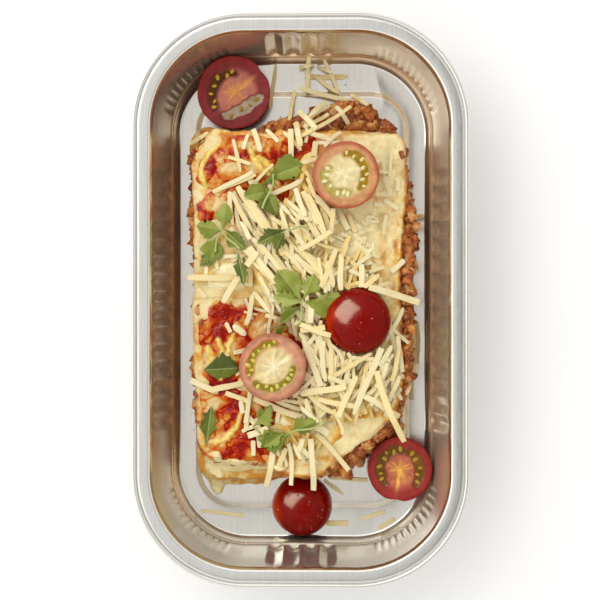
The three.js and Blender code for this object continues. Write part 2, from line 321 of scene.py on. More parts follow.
def make_camera():
    """Looks down at the middle of the rim, from a little to the right of it."""
    rim = box_mm("foil_tray")[1][2]
    camera = bpy.data.objects.new("camera", bpy.data.cameras.new("camera"))
    camera.data.sensor_width = SENSOR
    camera.data.lens = SENSOR * CAMERA["above_rim"] / CAMERA["frame_width"]
    camera.data.clip_start = 0.01
    camera.location = Vector((CAMERA["x"], 0, rim + CAMERA["above_rim"])) * MM
    camera.rotation_euler = (0, math.atan2(CAMERA["x"], CAMERA["above_rim"]), 0)
    bpy.context.scene.collection.objects.link(camera)
    bpy.context.scene.camera = camera


def paper_material():
    """Matt white paper, which gives soft light back."""
    material, _ = new_material("matt white paper")
    return surfaced(material, {"Base Color": linear("#f7f7f6"), "Roughness": 0.9})


def make_floor(size=4000):
    half = size / 2
    corners = [(-half, -half, 0), (half, -half, 0), (half, half, 0), (-half, half, 0)]
    floor = new_piece("floor", corners, [[0, 1, 2, 3]])
    floor.data.materials.append(paper_material())


def softbox(name, place, size, power, aim=(0, 0, 20)):
    light = bpy.data.objects.new(name, bpy.data.lights.new(name, "AREA"))
    light.data.shape = "RECTANGLE"
    light.data.size, light.data.size_y = size[0] * MM, size[1] * MM
    light.data.energy = power
    light.location = Vector(place) * MM
    direction = Vector(aim) * MM - light.location
    light.rotation_euler = direction.to_track_quat("-Z", "Y").to_euler()
    bpy.context.scene.collection.objects.link(light)
    return light


def along_way(tree, place, way, low, high):
    """How far the sky lies towards one way, as 0 at the first cosine and 1 at the second."""
    length = math.hypot(*way)
    towards = add(tree, "ShaderNodeVectorMath", {
        0: place, 1: tuple(part / length for part in way)}, operation="DOT_PRODUCT")
    return add(tree, "ShaderNodeMapRange", {
        "Value": (towards, "Value"), "From Min": low, "From Max": high},
        interpolation_type="SMOOTHSTEP")


def make_light():
    """A softbox overhead, whose right edge the rim mirrors, and a large window to the back left, in
    a pale room that is darker straight above and to the right. The window's shine on wet food is a
    light of its own, and so is the larger one on the tomatoes' skin. Both are returned."""
    softbox("overhead", (-375, 200, 1300), (1050, 1240), 1.8, aim=(-375, 200, 0))
    softbox("window", (-560, 520, 720), (760, 660), 2.1)
    wet_shine = softbox("window_on_wet_food", (-560, 520, 720), (620, 540), 30.0)
    skin_shine = softbox("window_on_skin", (-600, 500, 760), (1250, 1250), 185.0)
    skin_shine.data.color = (0.76, 0.92, 0.68)
    for light in (wet_shine, skin_shine):
        light.visible_diffuse = False
    world = bpy.data.worlds.new("studio")
    bpy.context.scene.world = world
    world.use_nodes = True
    tree = world.node_tree
    tree.nodes.clear()
    place = (add(tree, "ShaderNodeTexCoord"), "Generated")
    zenith = along_way(tree, place, (0, 0, 1), 0.86, 0.95)
    left = along_way(tree, place, (-1, 0.5, 0), -1.0, 1.0)
    room = add(tree, "ShaderNodeMath", [left, 0.60, 0.88], operation="MULTIPLY_ADD")
    open_sky = add(tree, "ShaderNodeMath", [zenith, -0.68, 1.0], operation="MULTIPLY_ADD")
    level = add(tree, "ShaderNodeMath", [room, open_sky], operation="MULTIPLY")
    background = add(tree, "ShaderNodeBackground", {"Color": linear("#fffdfa"), "Strength": level})
    add(tree, "ShaderNodeOutputWorld", {"Surface": background})
    bpy.context.scene.view_settings.view_transform = "Standard"
    return wet_shine, skin_shine


def link_light(light, pieces):
    """Keeps a light to some pieces."""
    linked = bpy.data.collections.new(light.name + "_pieces")
    for piece in pieces:
        linked.objects.link(piece)
    light.light_linking.receiver_collection = linked


# ---- The tray ----

TRAY_HIGH = box_mm("foil_tray")[1]
CORNER_RADIUS = 44.4
FOIL = 0.5
STEP = 0.7  # between the points round the tray
CORNER_POINTS = 69
FLANGE = TRAY_HIGH[2] - 0.8
MOUTH = 7.2  # from the outer edge to the end of the flange
BEAD = 1.9
# The inner face from the mouth to the floor, as distances in from the outer edge and heights.
WALL = [
    (7.55, 34), (7.9, 33.2), (8.1, 32.2), (8.3, 31.2), (8.7, 29.4), (9.2, 27.1), (9.7, 24.8),
    (10.2, 22.5), (10.7, 20.2), (11.2, 17.9), (11.7, 15.7), (12.1, 13.8), (12.4, 12.4), (12.6, 11.4),
    (12.8, 10.5), (12.95, 9.9), (13.3, 9.55), (13.7, 9.35), (13.85, 8.9), (13.95, 7.8), (14.1, 6),
    (14.25, 4.2), (14.4, 2.6), (14.55, 1.7), (14.85, 1), (15.3, 0.62), (15.9, 0.5),
]
WALL_MIDDLE = 11.0  # how far in the wall is at half its height
WALL_LAPS = 0.12  # how much lower the wall's outer face lies than its inner one
PANEL = {"half": (41.6, 83.6), "radius": 14.0, "rise": 1.0}
# The rings over the panel's edge: how far outside it each is, and its share of the panel's rise.
PANEL_RINGS = [
    (-32, 1), (-20, 1), (-8, 1), (-2, 1), (-0.4, 1), (0.25, 0.93), (1.15, 0.5),
    (2.05, 0.07), (2.7, 0),
]
FLUTES = {"Pitch": 7.0, "Depth": 1.4, "Foot": 9.6, "Top": 33.6, "Foot Run": 1.2, "Top Run": 6.0}
CRIMPS = {"Pitch": 3.1, "Depth": 0.8, "Foot": 9.7, "Top": 22.0, "Foot Run": 2.0, "Top Run": 5.0}
FLUTED_RUN = {"side": 52.5, "end": 14.0}  # from the middle of each side
CRIMPED_ARC = math.radians(33)  # to each side of the middle of a corner


def tray_stations():
    """Where the tray's rings have their points: the place on the rectangle between the corner
    centres, the direction out, how far along its side, and whether flutes or crimps are there."""
    core = TRAY_HIGH[:2] - CORNER_RADIUS
    wall_radius = CORNER_RADIUS - WALL_MIDDLE
    rows = []
    for side in range(4):
        heading = side * math.pi / 2
        run = core[1] if side % 2 == 0 else core[0]
        fluted = FLUTED_RUN["side"] if side % 2 == 0 else FLUTED_RUN["end"]
        out = np.array([math.cos(heading), math.sin(heading)])
        ahead = np.array([-out[1], out[0]])
        steps = np.arange(-int(run / STEP), int(run / STEP) + 1) * STEP
        for along in [-run, *steps, run]:
            rows.append([*(out * core + ahead * along), *out, along + fluted, abs(along) < fluted, 0])
        for turn in np.linspace(0, math.pi / 2, CORNER_POINTS)[1:-1]:
            angle = heading + turn
            middle = turn - math.pi / 4
            rows.append([*(out * core + ahead * run), math.cos(angle), math.sin(angle),
                         middle * wall_radius, 0, abs(middle) < CRIMPED_ARC])
    rows = np.array(rows, float)
    return {"core": rows[:, 0:2] / core, "out": rows[:, 2:4], "along": rows[:, 4],
            "fluted": rows[:, 5], "crimped": rows[:, 6]}


def rounded_ring(stations, half, radius, height):
    ring = stations["core"] * (np.array(half) - radius) + stations["out"] * radius
    return np.column_stack([ring, np.full(len(ring), height)])


def inset_ring(stations, inset, height):
    return rounded_ring(stations, TRAY_HIGH[:2] - inset, CORNER_RADIUS - inset, height)


def panel_ring(stations, grow, height):
    half = np.array(PANEL["half"]) + grow
    return rounded_ring(stations, half, max(PANEL["radius"] + grow, 0.4), height)


def tray_rings(stations):
    """The whole shell: the underside, the outer wall, the rolled edge, the inner wall, the floor."""
    top, rise = TRAY_HIGH[2], PANEL["rise"]
    under = [panel_ring(stations, grow, rise * share) for grow, share in PANEL_RINGS]
    outer = [inset_ring(stations, inset - FOIL, max(height - WALL_LAPS, 0)) for inset, height in WALL]
    inner = [inset_ring(stations, inset, height) for inset, height in WALL]
    edge = [(MOUTH - FOIL, FLANGE - FOIL), (BEAD + 0.2, FLANGE - FOIL), (BEAD - 0.2, FLANGE - 0.8)]
    centre, radius = BEAD / 2, BEAD / 2
    for angle in np.linspace(-130, 62, 15):
        turned = math.radians(angle)
        edge.append((centre - radius * math.cos(turned) if angle < 90 else centre,
                     top - radius * 0.95 + radius * 0.95 * math.sin(turned)))
    edge.extend([(BEAD * 0.62, top - 0.03), (BEAD * 0.8, top - 0.25), (BEAD * 0.93, top - 0.7),
                 (BEAD, FLANGE - 0.35), (BEAD + 0.12, FLANGE - 0.38), (BEAD + 0.3, FLANGE - 0.1),
                 (BEAD + 0.55, FLANGE), (3.5, FLANGE + 0.02),
                 (4.8, FLANGE + 0.03), (6.2, FLANGE + 0.02), (6.6, FLANGE - 0.03),
                 (6.9, FLANGE - 0.17), (7.12, FLANGE - 0.4), (7.27, FLANGE - 0.7),
                 (7.4, FLANGE - 0.95)])
    rolled = [inset_ring(stations, inset, height) for inset, height in edge]
    floor = [panel_ring(stations, grow, rise * share + FOIL) for grow, share in PANEL_RINGS]
    return [*under, *outer[::-1], *rolled, *inner, *floor[::-1]]


def dent_floor(points):
    """Soft unevenness of the thin floor, with a fold near the back right corner."""
    flat = points[:, :2]
    low = smooth(4.0, 1.8, points[:, 2])
    sag = 0.16 * fractal(flat, 26, 3, seed=5)
    fold = np.abs((flat[:, 0] - 31) * 0.9 + (flat[:, 1] - 88) * 0.42)
    along = np.abs((flat[:, 1] - 86) * 0.9 - (flat[:, 0] - 31) * 0.42)
    ridge = 0.5 * np.exp(-fold / 1.8) * smooth(9, 2, along)
    moved = points.copy()
    moved[:, 2] = np.maximum(points[:, 2] + low * (sag + ridge), 0)
    return moved


def rib_tree():
    """Geometry Nodes that press a row of ribs outwards into a wall. Each rib is a rounded ridge
    that ends in a pointed arch at its top and in a low one at its foot."""
    tree, given = open_tree("pressed ribs", dict.fromkeys(FLUTES, "Float") | {"Where": "String"})
    along = add(tree, "GeometryNodeInputNamedAttribute", {"Name": "along"})
    out = add(tree, "GeometryNodeInputNamedAttribute", {"Name": "out"}, data_type="FLOAT_VECTOR")
    where = add(tree, "GeometryNodeInputNamedAttribute", {"Name": (given, "Where")})
    height = add(tree, "ShaderNodeSeparateXYZ", {0: add(tree, "GeometryNodeInputPosition")})
    half = add(tree, "ShaderNodeMath", [(given, "Pitch"), 0.5], operation="MULTIPLY")
    saw = add(tree, "ShaderNodeMath", [along, half], operation="PINGPONG")
    off_ridge = add(tree, "ShaderNodeMapRange", {
        "Value": saw, "From Max": half, "To Min": 1.0, "To Max": 0.0})
    bowed = add(tree, "ShaderNodeMath", [off_ridge, 1.45], operation="POWER")
    to_top = add(tree, "ShaderNodeMath", [(given, "Top"), (height, "Z")], operation="SUBTRACT")
    to_foot = add(tree, "ShaderNodeMath", [(height, "Z"), (given, "Foot")], operation="SUBTRACT")
    near_top = add(tree, "ShaderNodeMath", [to_top, (given, "Top Run")], operation="DIVIDE")
    near_foot = add(tree, "ShaderNodeMath", [to_foot, (given, "Foot Run")], operation="DIVIDE")
    nearest = add(tree, "ShaderNodeMath", [near_top, near_foot], operation="MINIMUM", use_clamp=True)
    kept = add(tree, "ShaderNodeMath", [nearest, bowed], operation="SUBTRACT", use_clamp=True)
    deep = add(tree, "ShaderNodeMath", [kept, (given, "Depth")], operation="MULTIPLY")
    here = add(tree, "ShaderNodeMath", [deep, where], operation="MULTIPLY")
    push = add(tree, "ShaderNodeVectorMath", {0: out, "Scale": here}, operation="SCALE")
    moved = add(tree, "GeometryNodeSetPosition", {"Geometry": (given, "Geometry"), "Offset": push})
    return close_tree(tree, given, moved)


def fat_and_painted_reflection_at(points, levels):
    """How thick the film on the inside is, of fat and sauce and of painted reflection of the food: on
    the walls' inner face, most at their foot.
    """
    ring = np.minimum(np.arange(len(points)) // ((len(points) - 2) // levels), levels - 1)
    inner = ring >= levels - len(WALL) - len(PANEL_RINGS)
    height = points[:, 2]
    film = smooth(33.4, 31.4, height) * (0.6 + 0.4 * smooth(12, 8, height)) * smooth(1.7, 4.5, height)
    return inner * np.maximum(film, 0.14 * smooth(30, 20, height))


def make_tray(material):
    stations = tray_stations()
    rings = tray_rings(stations)
    points, faces = loft(rings)
    points = dent_floor(points)
    levels = len(rings)
    hubs = np.zeros(2)
    out = np.column_stack([stations["out"], np.zeros(len(stations["out"]))])
    tray = new_piece("foil_tray_pressed", points, faces, {
        "along": np.concatenate([np.tile(stations["along"], levels), hubs]) * MM,
        "out": np.vstack([np.tile(out, (levels, 1)), np.zeros((2, 3))]),
        "fluted": np.concatenate([np.tile(stations["fluted"], levels), hubs]),
        "crimped": np.concatenate([np.tile(stations["crimped"], levels), hubs]),
        # fat film with a painted reflection of the food, and painted shade on the front wall
        "greasy": fat_and_painted_reflection_at(points, levels),
        "grey": smooth(-70, -98, points[:, 1]),
        "matt": 0.3 + 0.22 * smooth(30, 48, points[:, 0]),
    })
    for where, sizes in (("fluted", FLUTES), ("crimped", CRIMPS)):
        run_tree(tray, TREES["ribs"], material, in_metres(sizes) | {"Where": where})
    return finish_piece(tray, material, ["foil_tray"])


def foil_material():
    """Cold rolled aluminium foil, pressed: satin and bright, with a faint rolling grain along its
    length, smears, and a film of fat on the inside that turns it a warm olive brown. That brown is
    also a painted reflection of the food in the walls, and the front wall's film is painted shade,
    cooler and darker."""
    material, tree, greasy, grey, matt = new_material(
        "pressed aluminium foil", "greasy", "grey", "matt")
    place = (add(tree, "ShaderNodeTexCoord"), "Object")
    # Rolling lines are some hundredths of a millimetre apart, drawn at 0.4 mm so that they show.
    lines = add(tree, "ShaderNodeMapping", {
        "Vector": place, "Scale": tuple(1 / (size * MM) for size in (0.4, 14, 2))})
    grain = add(tree, "ShaderNodeTexNoise", {"Vector": lines, "Scale": 1.0, "Detail": 3.0})
    smear = grain_of(tree, 18, 4, 0.6)
    satin = add(tree, "ShaderNodeMapRange", {
        "Value": smear, "From Min": 0.3, "From Max": 0.7, "To Min": 0.14, "To Max": 0.22})
    rough = add(tree, "ShaderNodeMath", [grain, 0.03, satin], operation="MULTIPLY_ADD")
    dulled = add(tree, "ShaderNodeMath", [greasy, 0.06, rough], operation="MULTIPLY_ADD")
    metal = add(tree, "ShaderNodeValToRGB", {"Fac": grain}, stops=[(0.3, "#dfded8"), (0.7, "#e7e6e2")])
    # Painted reflection: the warm brown of the food that the walls mirror, painted into the film of fat.
    fat = add(tree, "ShaderNodeValToRGB", {"Fac": smear}, stops=[(0.35, "#e4ca9c"), (0.65, "#dab683")])
    # Painted shade: towards the front the film turns a cooler, darker tone, against the window's light
    # on that wall.
    film = add(tree, "ShaderNodeMix", {0: grey, 6: fat, 7: linear("#c4bba8")}, data_type="RGBA")
    tone = add(tree, "ShaderNodeMix", {0: greasy, 6: metal, 7: film}, data_type="RGBA")
    waves = add(tree, "ShaderNodeBump", {
        "Height": grain_of(tree, 5, 2, 0.5), "Strength": 0.35, "Distance": 0.12 * MM})
    relief = add(tree, "ShaderNodeBump", {
        "Height": grain, "Strength": 0.08, "Distance": 0.02 * MM, "Normal": waves})
    hidden = add(tree, "ShaderNodeMath", [greasy, matt], operation="MULTIPLY")
    bare = add(tree, "ShaderNodeMath", [1.0, hidden], operation="SUBTRACT")
    return surfaced(material, {
        "Base Color": tone, "Metallic": bare, "Roughness": dulled, "Normal": relief})


# ---- The block of lasagne ----

BLOCK_MIDDLE = np.array([-1.0, -2.0])
ROUND_BLOCK = 640
TURNS = np.linspace(0, 2 * math.pi, ROUND_BLOCK, endpoint=False)
OUTWARDS = np.column_stack([np.cos(TURNS), np.sin(TURNS)])
SHEET_TOP = 20.6  # of the top sheet where its wave is at its lowest
SHEET = 1.6
EDGE_DEPTH = 0.5  # of the unevenness of a sheet's edge
STEP_AT = 0.8  # the back half of the top sheet ends here and lies over the front half
STEP_HIGH = 0.9


def soften(values, reach):
    """Each value averaged with its neighbours round a closed ring."""
    ringed = np.concatenate([values[-reach:], values, values[:reach]])
    weights = np.hanning(2 * reach + 3)[1:-1]
    return np.convolve(ringed, weights / weights.sum(), "valid")


def outline_of(node, smoothing=5):
    """How far a CAD layer reaches from the block's middle in each direction, with the corners
    between its flat facets smoothed away."""
    tree = ray_tree([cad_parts[node]])
    low, high = box_mm(node)
    far = 150.0
    reach = np.zeros(ROUND_BLOCK)
    for height in np.linspace(low[2], high[2], 7)[1:-1]:
        for i, out in enumerate(OUTWARDS):
            start = Vector((*(BLOCK_MIDDLE + out * far), height))
            distance = tree.ray_cast(start, Vector((-out[0], -out[1], 0)))[3]
            if distance is not None:
                reach[i] = max(reach[i], far - distance)
    return soften(reach, smoothing)


def ragged(reach, depth, size, seed):
    """An outline with an uneven edge."""
    edge = BLOCK_MIDDLE + OUTWARDS * reach[:, None]
    return reach + depth * fractal(edge, size, 3, seed)


def around(middle, half, fade):
    """1 in the directions round the block within some degrees of a middle one, fading to 0."""
    away = np.abs((np.degrees(TURNS) - middle + 180) % 360 - 180)
    return smooth(half + fade, half, away)


def mince_out(node):
    """1 in the directions where a layer of mince sticks out of the block, and 0 where it stays in."""
    return np.max([around(*spill) for spill in MINCE_SPILLS[node]], axis=0)


# Where mince sticks out, as a middle direction, half its width and how far it fades, in degrees.
MINCE_SPILLS = {
    "mince_lower": [(2, 44, 4), (84, 22, 3), (139.5, 6, 3), (178.5, 5, 3), (226, 2, 3), (294, 9, 4)],
    "mince_upper": [(2, 44, 4), (139.5, 5, 3), (296, 9, 4)],
}


def block_ring(reach, share, grow, height):
    """A ring round the block: a share of its reach, with some millimetres added, at a height."""
    flat = BLOCK_MIDDLE + OUTWARDS * np.maximum(reach * share + grow, 0.3)[:, None]
    level = height(flat) if callable(height) else np.full(ROUND_BLOCK, float(height))
    return np.column_stack([flat, level])


def within(flat, reach):
    """How far inside a layer's outline each place lies, with its step from the block's middle."""
    out = flat - BLOCK_MIDDLE
    turn = np.arctan2(out[:, 1], out[:, 0]) % (2 * math.pi)
    return np.interp(turn, TURNS, reach, period=2 * math.pi) - np.linalg.norm(out, axis=1), out


def roughen(points, reach, depth, size, seed, lift=0.5):
    """Lumps on a layer: its side moves in and out, and its top up and down."""
    lumps = fractal(points, size, 3, seed)
    inside, out = within(points[:, :2], reach)
    way = out / np.maximum(np.linalg.norm(out, axis=1), 1)[:, None]
    moved = points.copy()
    moved[:, :2] += way * (depth * smooth(6, 1, inside) * lumps)[:, None]
    moved[:, 2] += lift * depth * lumps
    return moved


def layer_shape(reach, sections, bumps, lowest=-math.inf):
    """Points and faces of a layer through some rings. Each section is a share of the layer's
    reach, some millimetres to add, and a height. The bumps are what `roughen` takes."""
    points, faces = loft([block_ring(reach, *section) for section in sections])
    points = roughen(points, reach, *bumps)
    points[:, 2] = np.maximum(points[:, 2], lowest)
    return points, faces


def sheet_wave(flat):
    """The slow rise and fall of the top sheet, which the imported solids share."""
    x, y = flat[:, 0], flat[:, 1]
    return 0.8 + 0.45 * np.sin(x / 11 + 1) * np.cos(y / 17) + 0.35 * np.sin(y / 9 + x / 23)


def sheet_step(flat):
    """1 on the back half of the top sheet and 0 on the front half, which it overlaps."""
    edge = STEP_AT + 0.9 * noise(flat[:, :1] / 5, 1.0, seed=8)
    return smooth(-0.5, 0.5, flat[:, 1] - edge) * smooth(18, 8, flat[:, 0])


def sheet_folds(flat):
    """Soft folds to the right of the middle, where the sheet has shrunk in the oven."""
    x, y = flat[:, 0], flat[:, 1]
    right = smooth(22, 29, x) * smooth(44, 40, x) * smooth(-2, 8, y) * smooth(68, 60, y)
    ripples = np.sin(x / 1.9 + 1.6 * noise(flat, 14, seed=3)) + 0.7 * np.sin(y / 4.7 + x / 3.1)
    creases = 1.6 - 5.0 * np.abs(fractal(flat * [1.0, 0.6], 5.5, 3, seed=9))
    return right * (0.6 * ripples + 0.8 * creases)


def sheet_surface(flat):
    """The height of the top sheet's upper face."""
    melted = 0.3 * fractal(flat, 8, 3, seed=21)
    return (SHEET_TOP + sheet_wave(flat) + melted + 0.5 * sheet_folds(flat)
            + STEP_HIGH * sheet_step(flat))


def make_sheet(name, node, material, seed, corner=0.0):
    """A pasta sheet under other layers, of which only the edge shows. Its back left corner may
    stick out by some millimetres."""
    low_z = box_mm(node)[0][2]
    high_z = low_z + SHEET
    reach = ragged(outline_of(node), EDGE_DEPTH, 6, seed) + corner * around(121, 4, 9)
    sections = [(0.35, 0, low_z), (0.8, 0, low_z), (1, -0.6, low_z), (1, -0.1, low_z + 0.35),
                (1, 0.1, low_z + 0.8), (1, -0.1, high_z - 0.35), (1, -0.6, high_z),
                (1, -3, high_z), (0.8, 0, high_z), (0.35, 0, high_z)]
    points, faces = layer_shape(reach, sections, (0.25, 3, seed + 5), low_z - 0.1)
    piece = new_piece(name, points, faces, {
        "browned": 0.25 + 0.35 * noise(points, 7, seed), "stained": np.full(len(points), 0.35)})
    return finish_piece(piece, material, [node])


# Browned spots of the top sheet: the middle, the half sizes and how dark.
BROWNED = [
    (34, 67.2, 6, 0.8, 0.8), (41.8, 56, 0.9, 6.5, 0.7), (38, 47, 0.8, 4.5, 0.4),
    (31, 40.5, 2.6, 0.8, 0.9), (32.5, 22, 1.6, 7, 0.55), (37.6, 21, 1, 5.5, 0.55),
    (15, -63, 6, 1.4, 0.6), (26, -54, 4.5, 1.6, 0.5), (-1, -63, 9, 1.1, 0.4),
    (-30, 66, 7, 0.8, 0.5), (40.5, 4, 1, 7, 0.5), (30, -45.5, 4, 1.2, 0.4),
]
# Where white sauce lies thickest on the top sheet: the middle and the half sizes. The last oval is
# partly white sauce and partly painted light, paling the sheet where the back tomato's shadow falls.
MILKY = [(31, 60, 14, 9), (34, 46, 7, 9), (21, -53, 13, 8), (-37, 12, 6, 20), (26, 28, 12, 14)]


def browned_at(flat):
    total = 0.16 * np.maximum(fractal(flat, 16, 3, seed=40), 0)
    for away, strength in oval_distances(flat, BROWNED):
        total += strength * np.exp(-away ** 2) * (0.8 + 0.5 * noise(flat, 1.6, seed=41))
    rim = smooth(0.0, -0.42, block_cover(flat)) * smooth(-30, -10, flat[:, 0])
    return np.clip(total + rim * (0.55 + 0.6 * noise(flat, 5, seed=42)), 0, 1)


def stained_at(flat):
    """How much red sauce has soaked into the top sheet: round the sauce and along the front."""
    total = np.zeros(len(flat))
    for sauce in SAUCES.values():
        away = sauce_field(flat, sauce)
        total = np.maximum(total, smooth(-0.35, 0.25, away))
    front = smooth(-58, -64, flat[:, 1]) * smooth(14, -6, flat[:, 0])
    return np.clip(total + 0.9 * front * (0.55 + noise(flat * [0.4, 1.0], 3, seed=43)), 0, 1)


def make_top_sheet(material):
    node = "pasta_sheet_top"
    under = box_mm(node)[0][2]
    reach = outline_of(node)
    # The back left corner is torn off on the slant, and the front edge has drawn in at the left.
    reach = ragged(reach - 2.5 * around(122, 1, 5) - 2.6 * around(247, 9, 6), 0.6, 5, seed=31)
    rim = [(1, -1.6, 0.2), (1, -0.5, 0.35), (1, 0.0, 0.55), (1, -0.1, 0.8), (1, -0.7, 0.97)]
    sections = [(share, 0, lambda flat: under + sheet_wave(flat) - 0.2)
                for share in (0.2, 0.4, 0.6, 0.8, 0.92)]
    for share, grow, part in rim:
        sections.append((share, grow, lambda flat, part=part: (
            (1 - part) * (under + sheet_wave(flat)) + part * (sheet_surface(flat) - 0.35))))
    for share in np.linspace(0.985, 0.02, 96):
        sections.append((share, -0.3, sheet_surface))
    points, faces = layer_shape(reach, sections, (0.3, 2.2, 33, 0.25))
    flat = points[:, :2]
    piece = new_piece("pasta_sheet_top_baked", points, faces, {
        "browned": browned_at(flat), "stained": stained_at(flat), "milky": milky_at(flat)})
    return finish_piece(piece, material, [node])


def milky_at(flat):
    """How thick white sauce lies on the top sheet; its last oval is partly painted light."""
    nearest = np.exp(-(1 - oval_field(flat, MILKY)) ** 4)
    return np.clip(nearest + 0.2 * noise(flat, 6, seed=44), 0, 1)


def make_mince(name, node, material, top, seed):
    """A layer of mince with a lumpy side. Its top is lumpy too where nothing lies over it."""
    under = box_mm(node)[0][2]
    reach = ragged(outline_of(node), 1.1, 6, seed) - 3.0
    reach += 2.2 * mince_out(node) - 1.5 * around(250, 12, 5)
    sections = [(0.4, 0, under), (0.85, 0, under), (1, -2.2, under), (1, -0.7, under + 0.8)]
    for part, grow in ((0.3, 0.1), (0.45, 0.3), (0.6, 0.3), (0.75, 0.1), (0.88, -0.5), (0.96, -1.3)):
        sections.append((1, grow, lambda flat, part=part: under + part * (top(flat) - under)))
    sections.extend((1, -inset, top) for inset in (2.0, 2.8, 3.6, 4.4, 5.2, 6.0, 7.0, 8.5, 10, 12, 14))
    sections.extend((share, -14, top) for share in (0.9, 0.6, 0.3))
    points, faces = layer_shape(reach, sections, (0.9, 3.2, seed + 3), under - 0.1)
    piece = new_piece(name, points, faces, {"shade": 0.4 + 0.3 * noise(points, 4, seed + 9)})
    return finish_piece(piece, material, [node])


# ---- Tomato sauce ----

# Where each sauce lies, as ovals: the middle and the half sizes.
SAUCES = {
    "tomato_sauce_back": {"seed": 3, "ovals": [
        (-24, 52, 19, 12), (-10, 57, 14, 9), (-30, 38, 11, 8), (5, 60, 9, 6), (-14, 41, 9, 6)]},
    "tomato_sauce_front": {"seed": 4, "ovals": [
        (-24, -12, 18, 9), (-12, -20, 14, 8), (-31, -26, 10, 12), (-28, -46, 12, 12),
        (-14, -52, 12, 10), (0, -34, 9, 10), (-22, -58, 16, 5), (4, -48, 9, 8)]},
}
SAUCE_STEP = 0.45  # between the points of its face
# Spots on the sauce: the middle, the half sizes, and how cream (above 0) or deep red (below 0).
SAUCE_SPOTS = [
    (-27.5, 53, 3.6, 3.6, 1), (-35, 37, 5, 5, 0.9), (-22, 61, 8, 2, 0.6), (-19, 53, 3, 2.5, 0.5),
    (-36, 53, 2.2, 3.6, -1), (-36, 30.5, 5, 1.6, -1), (-13, 57, 5, 4, -0.3), (2, 59, 4, 4, -0.4),
    (-6, 33, 3.2, 3.5, -1.2), (-13, 30, 2.6, 2, -1), (-20, 41, 3, 2, -0.9), (8, 38, 3, 3, -0.8),
    (-28, -4, 9, 2.4, -0.7), (-8, -8, 6, 2.2, -0.9), (-32, -13, 4, 2, -0.8), (-29, -20, 6, 4, 0.8),
    (-37, -24, 3, 6, 0.4), (0, -17, 3, 3, -1.2), (-34, -41, 4, 5, 0.6), (-25, -42, 3, 3, -0.8),
    (-19, -50, 2.6, 5, -1.1), (7, -44, 3.2, 3.2, -1.2), (-30, -54, 4, 4, 0.5), (-3, -60, 5, 2, -0.8),
    (-22, -26, 3, 2, -0.9), (-30, -33, 3, 3, -0.5),
]
# Strands of melted yellow cheese over the sauce, as the points that each runs through.
YELLOW_STRANDS = [
    [(-33, 62), (-36, 60), (-39, 55), (-40, 50), (-38, 44)],
    [(-20, 59), (-17, 54), (-13, 50), (-9, 46)],
    [(-17, 57), (-12, 53), (-8, 49)],
    [(-22, -41), (-24, -46), (-26, -51), (-30, -55), (-34, -57)],
    [(-33, -16), (-31, -22), (-29, -28)],
    [(-27, -14), (-29, -20), (-27, -24)],
    [(-37, -19), (-35, -26), (-32, -31)],
]


def sauce_field(flat, sauce):
    """Above 0 where the sauce lies, falling off outwards."""
    return oval_field(flat, sauce["ovals"]) + 0.3 * fractal(flat, 9, 3, sauce["seed"]) + 0.12


def strand_field(flat):
    """1 along the middle of each yellow strand, falling to 0 at its sides."""
    best = np.full(len(flat), 99.0)
    wobble = flat + 0.5 * np.column_stack([noise(flat, 3, 51), noise(flat, 3, 52)])
    for strand in YELLOW_STRANDS:
        for start, end in zip(np.array(strand[:-1], float), np.array(strand[1:], float)):
            run = end - start
            share = np.clip(((wobble - start) @ run) / (run @ run), 0, 1)
            away = np.linalg.norm(wobble - start - share[:, None] * run, axis=1)
            best = np.minimum(best, away)
    return smooth(1.5, 0.4, best)


def sauce_tone(flat, seed):
    """From -1, deep red, over 0, orange red, to 1, cream. Red runs in thin lines between the clouds."""
    drift = np.column_stack([noise(flat, 7, seed + 64), noise(flat, 7, seed + 65)])
    swirled = flat + 2.4 * drift
    tone = 0.02 + 0.6 * fractal(swirled, 5.5, 4, seed + 60)
    tone -= 0.75 * smooth(0.16, 0.02, np.abs(fractal(swirled, 7, 3, seed + 62)))
    for away, strength in oval_distances(flat, SAUCE_SPOTS):
        tone += 1.2 * strength * np.exp(-away ** 2)
    return np.clip(tone, -1, 1)


def make_sauce(node, material):
    """A smear of sauce, thick in the middle. Its edge goes down into the top sheet, so that it ends
    where the two faces meet, and it is closed by an underside within the sheet."""
    sauce = SAUCES[node]
    low, high = box_mm(node)
    grid, flat = grid_over(low[:2] - 5, high[:2] + 5, SAUCE_STEP)
    field = np.minimum(sauce_field(flat, sauce), block_cover(flat))
    strand = strand_field(flat)
    tone = sauce_tone(flat, sauce["seed"])
    lumps = 0.34 * fractal(flat, 2.6, 3, sauce["seed"] + 70) + 0.45 * np.maximum(tone, 0)
    thick = -0.5 + 1.1 * smooth(-0.12, 0.3, field)
    sheet = sheet_surface(flat)
    top = sheet + thick + np.where(field > -0.1, 0.7 * lumps + 0.55 * strand, 0)
    under = np.minimum(sheet - 0.8, top - 0.1)
    piece = slab_piece(node + "_baked", grid, top, under, field > -0.3, {
        "tone": tone, "strand": strand})
    return finish_piece(piece, material, [node])


def block_cover(flat):
    """1 well within the top sheet's outline, 0 at 2 mm from its edge, and below 0 outside."""
    inside, _ = within(flat, TOP_REACH)
    return np.clip((inside - 2.0) / 4.0, -2, 1)


# ---- Small things laid on the meal ----

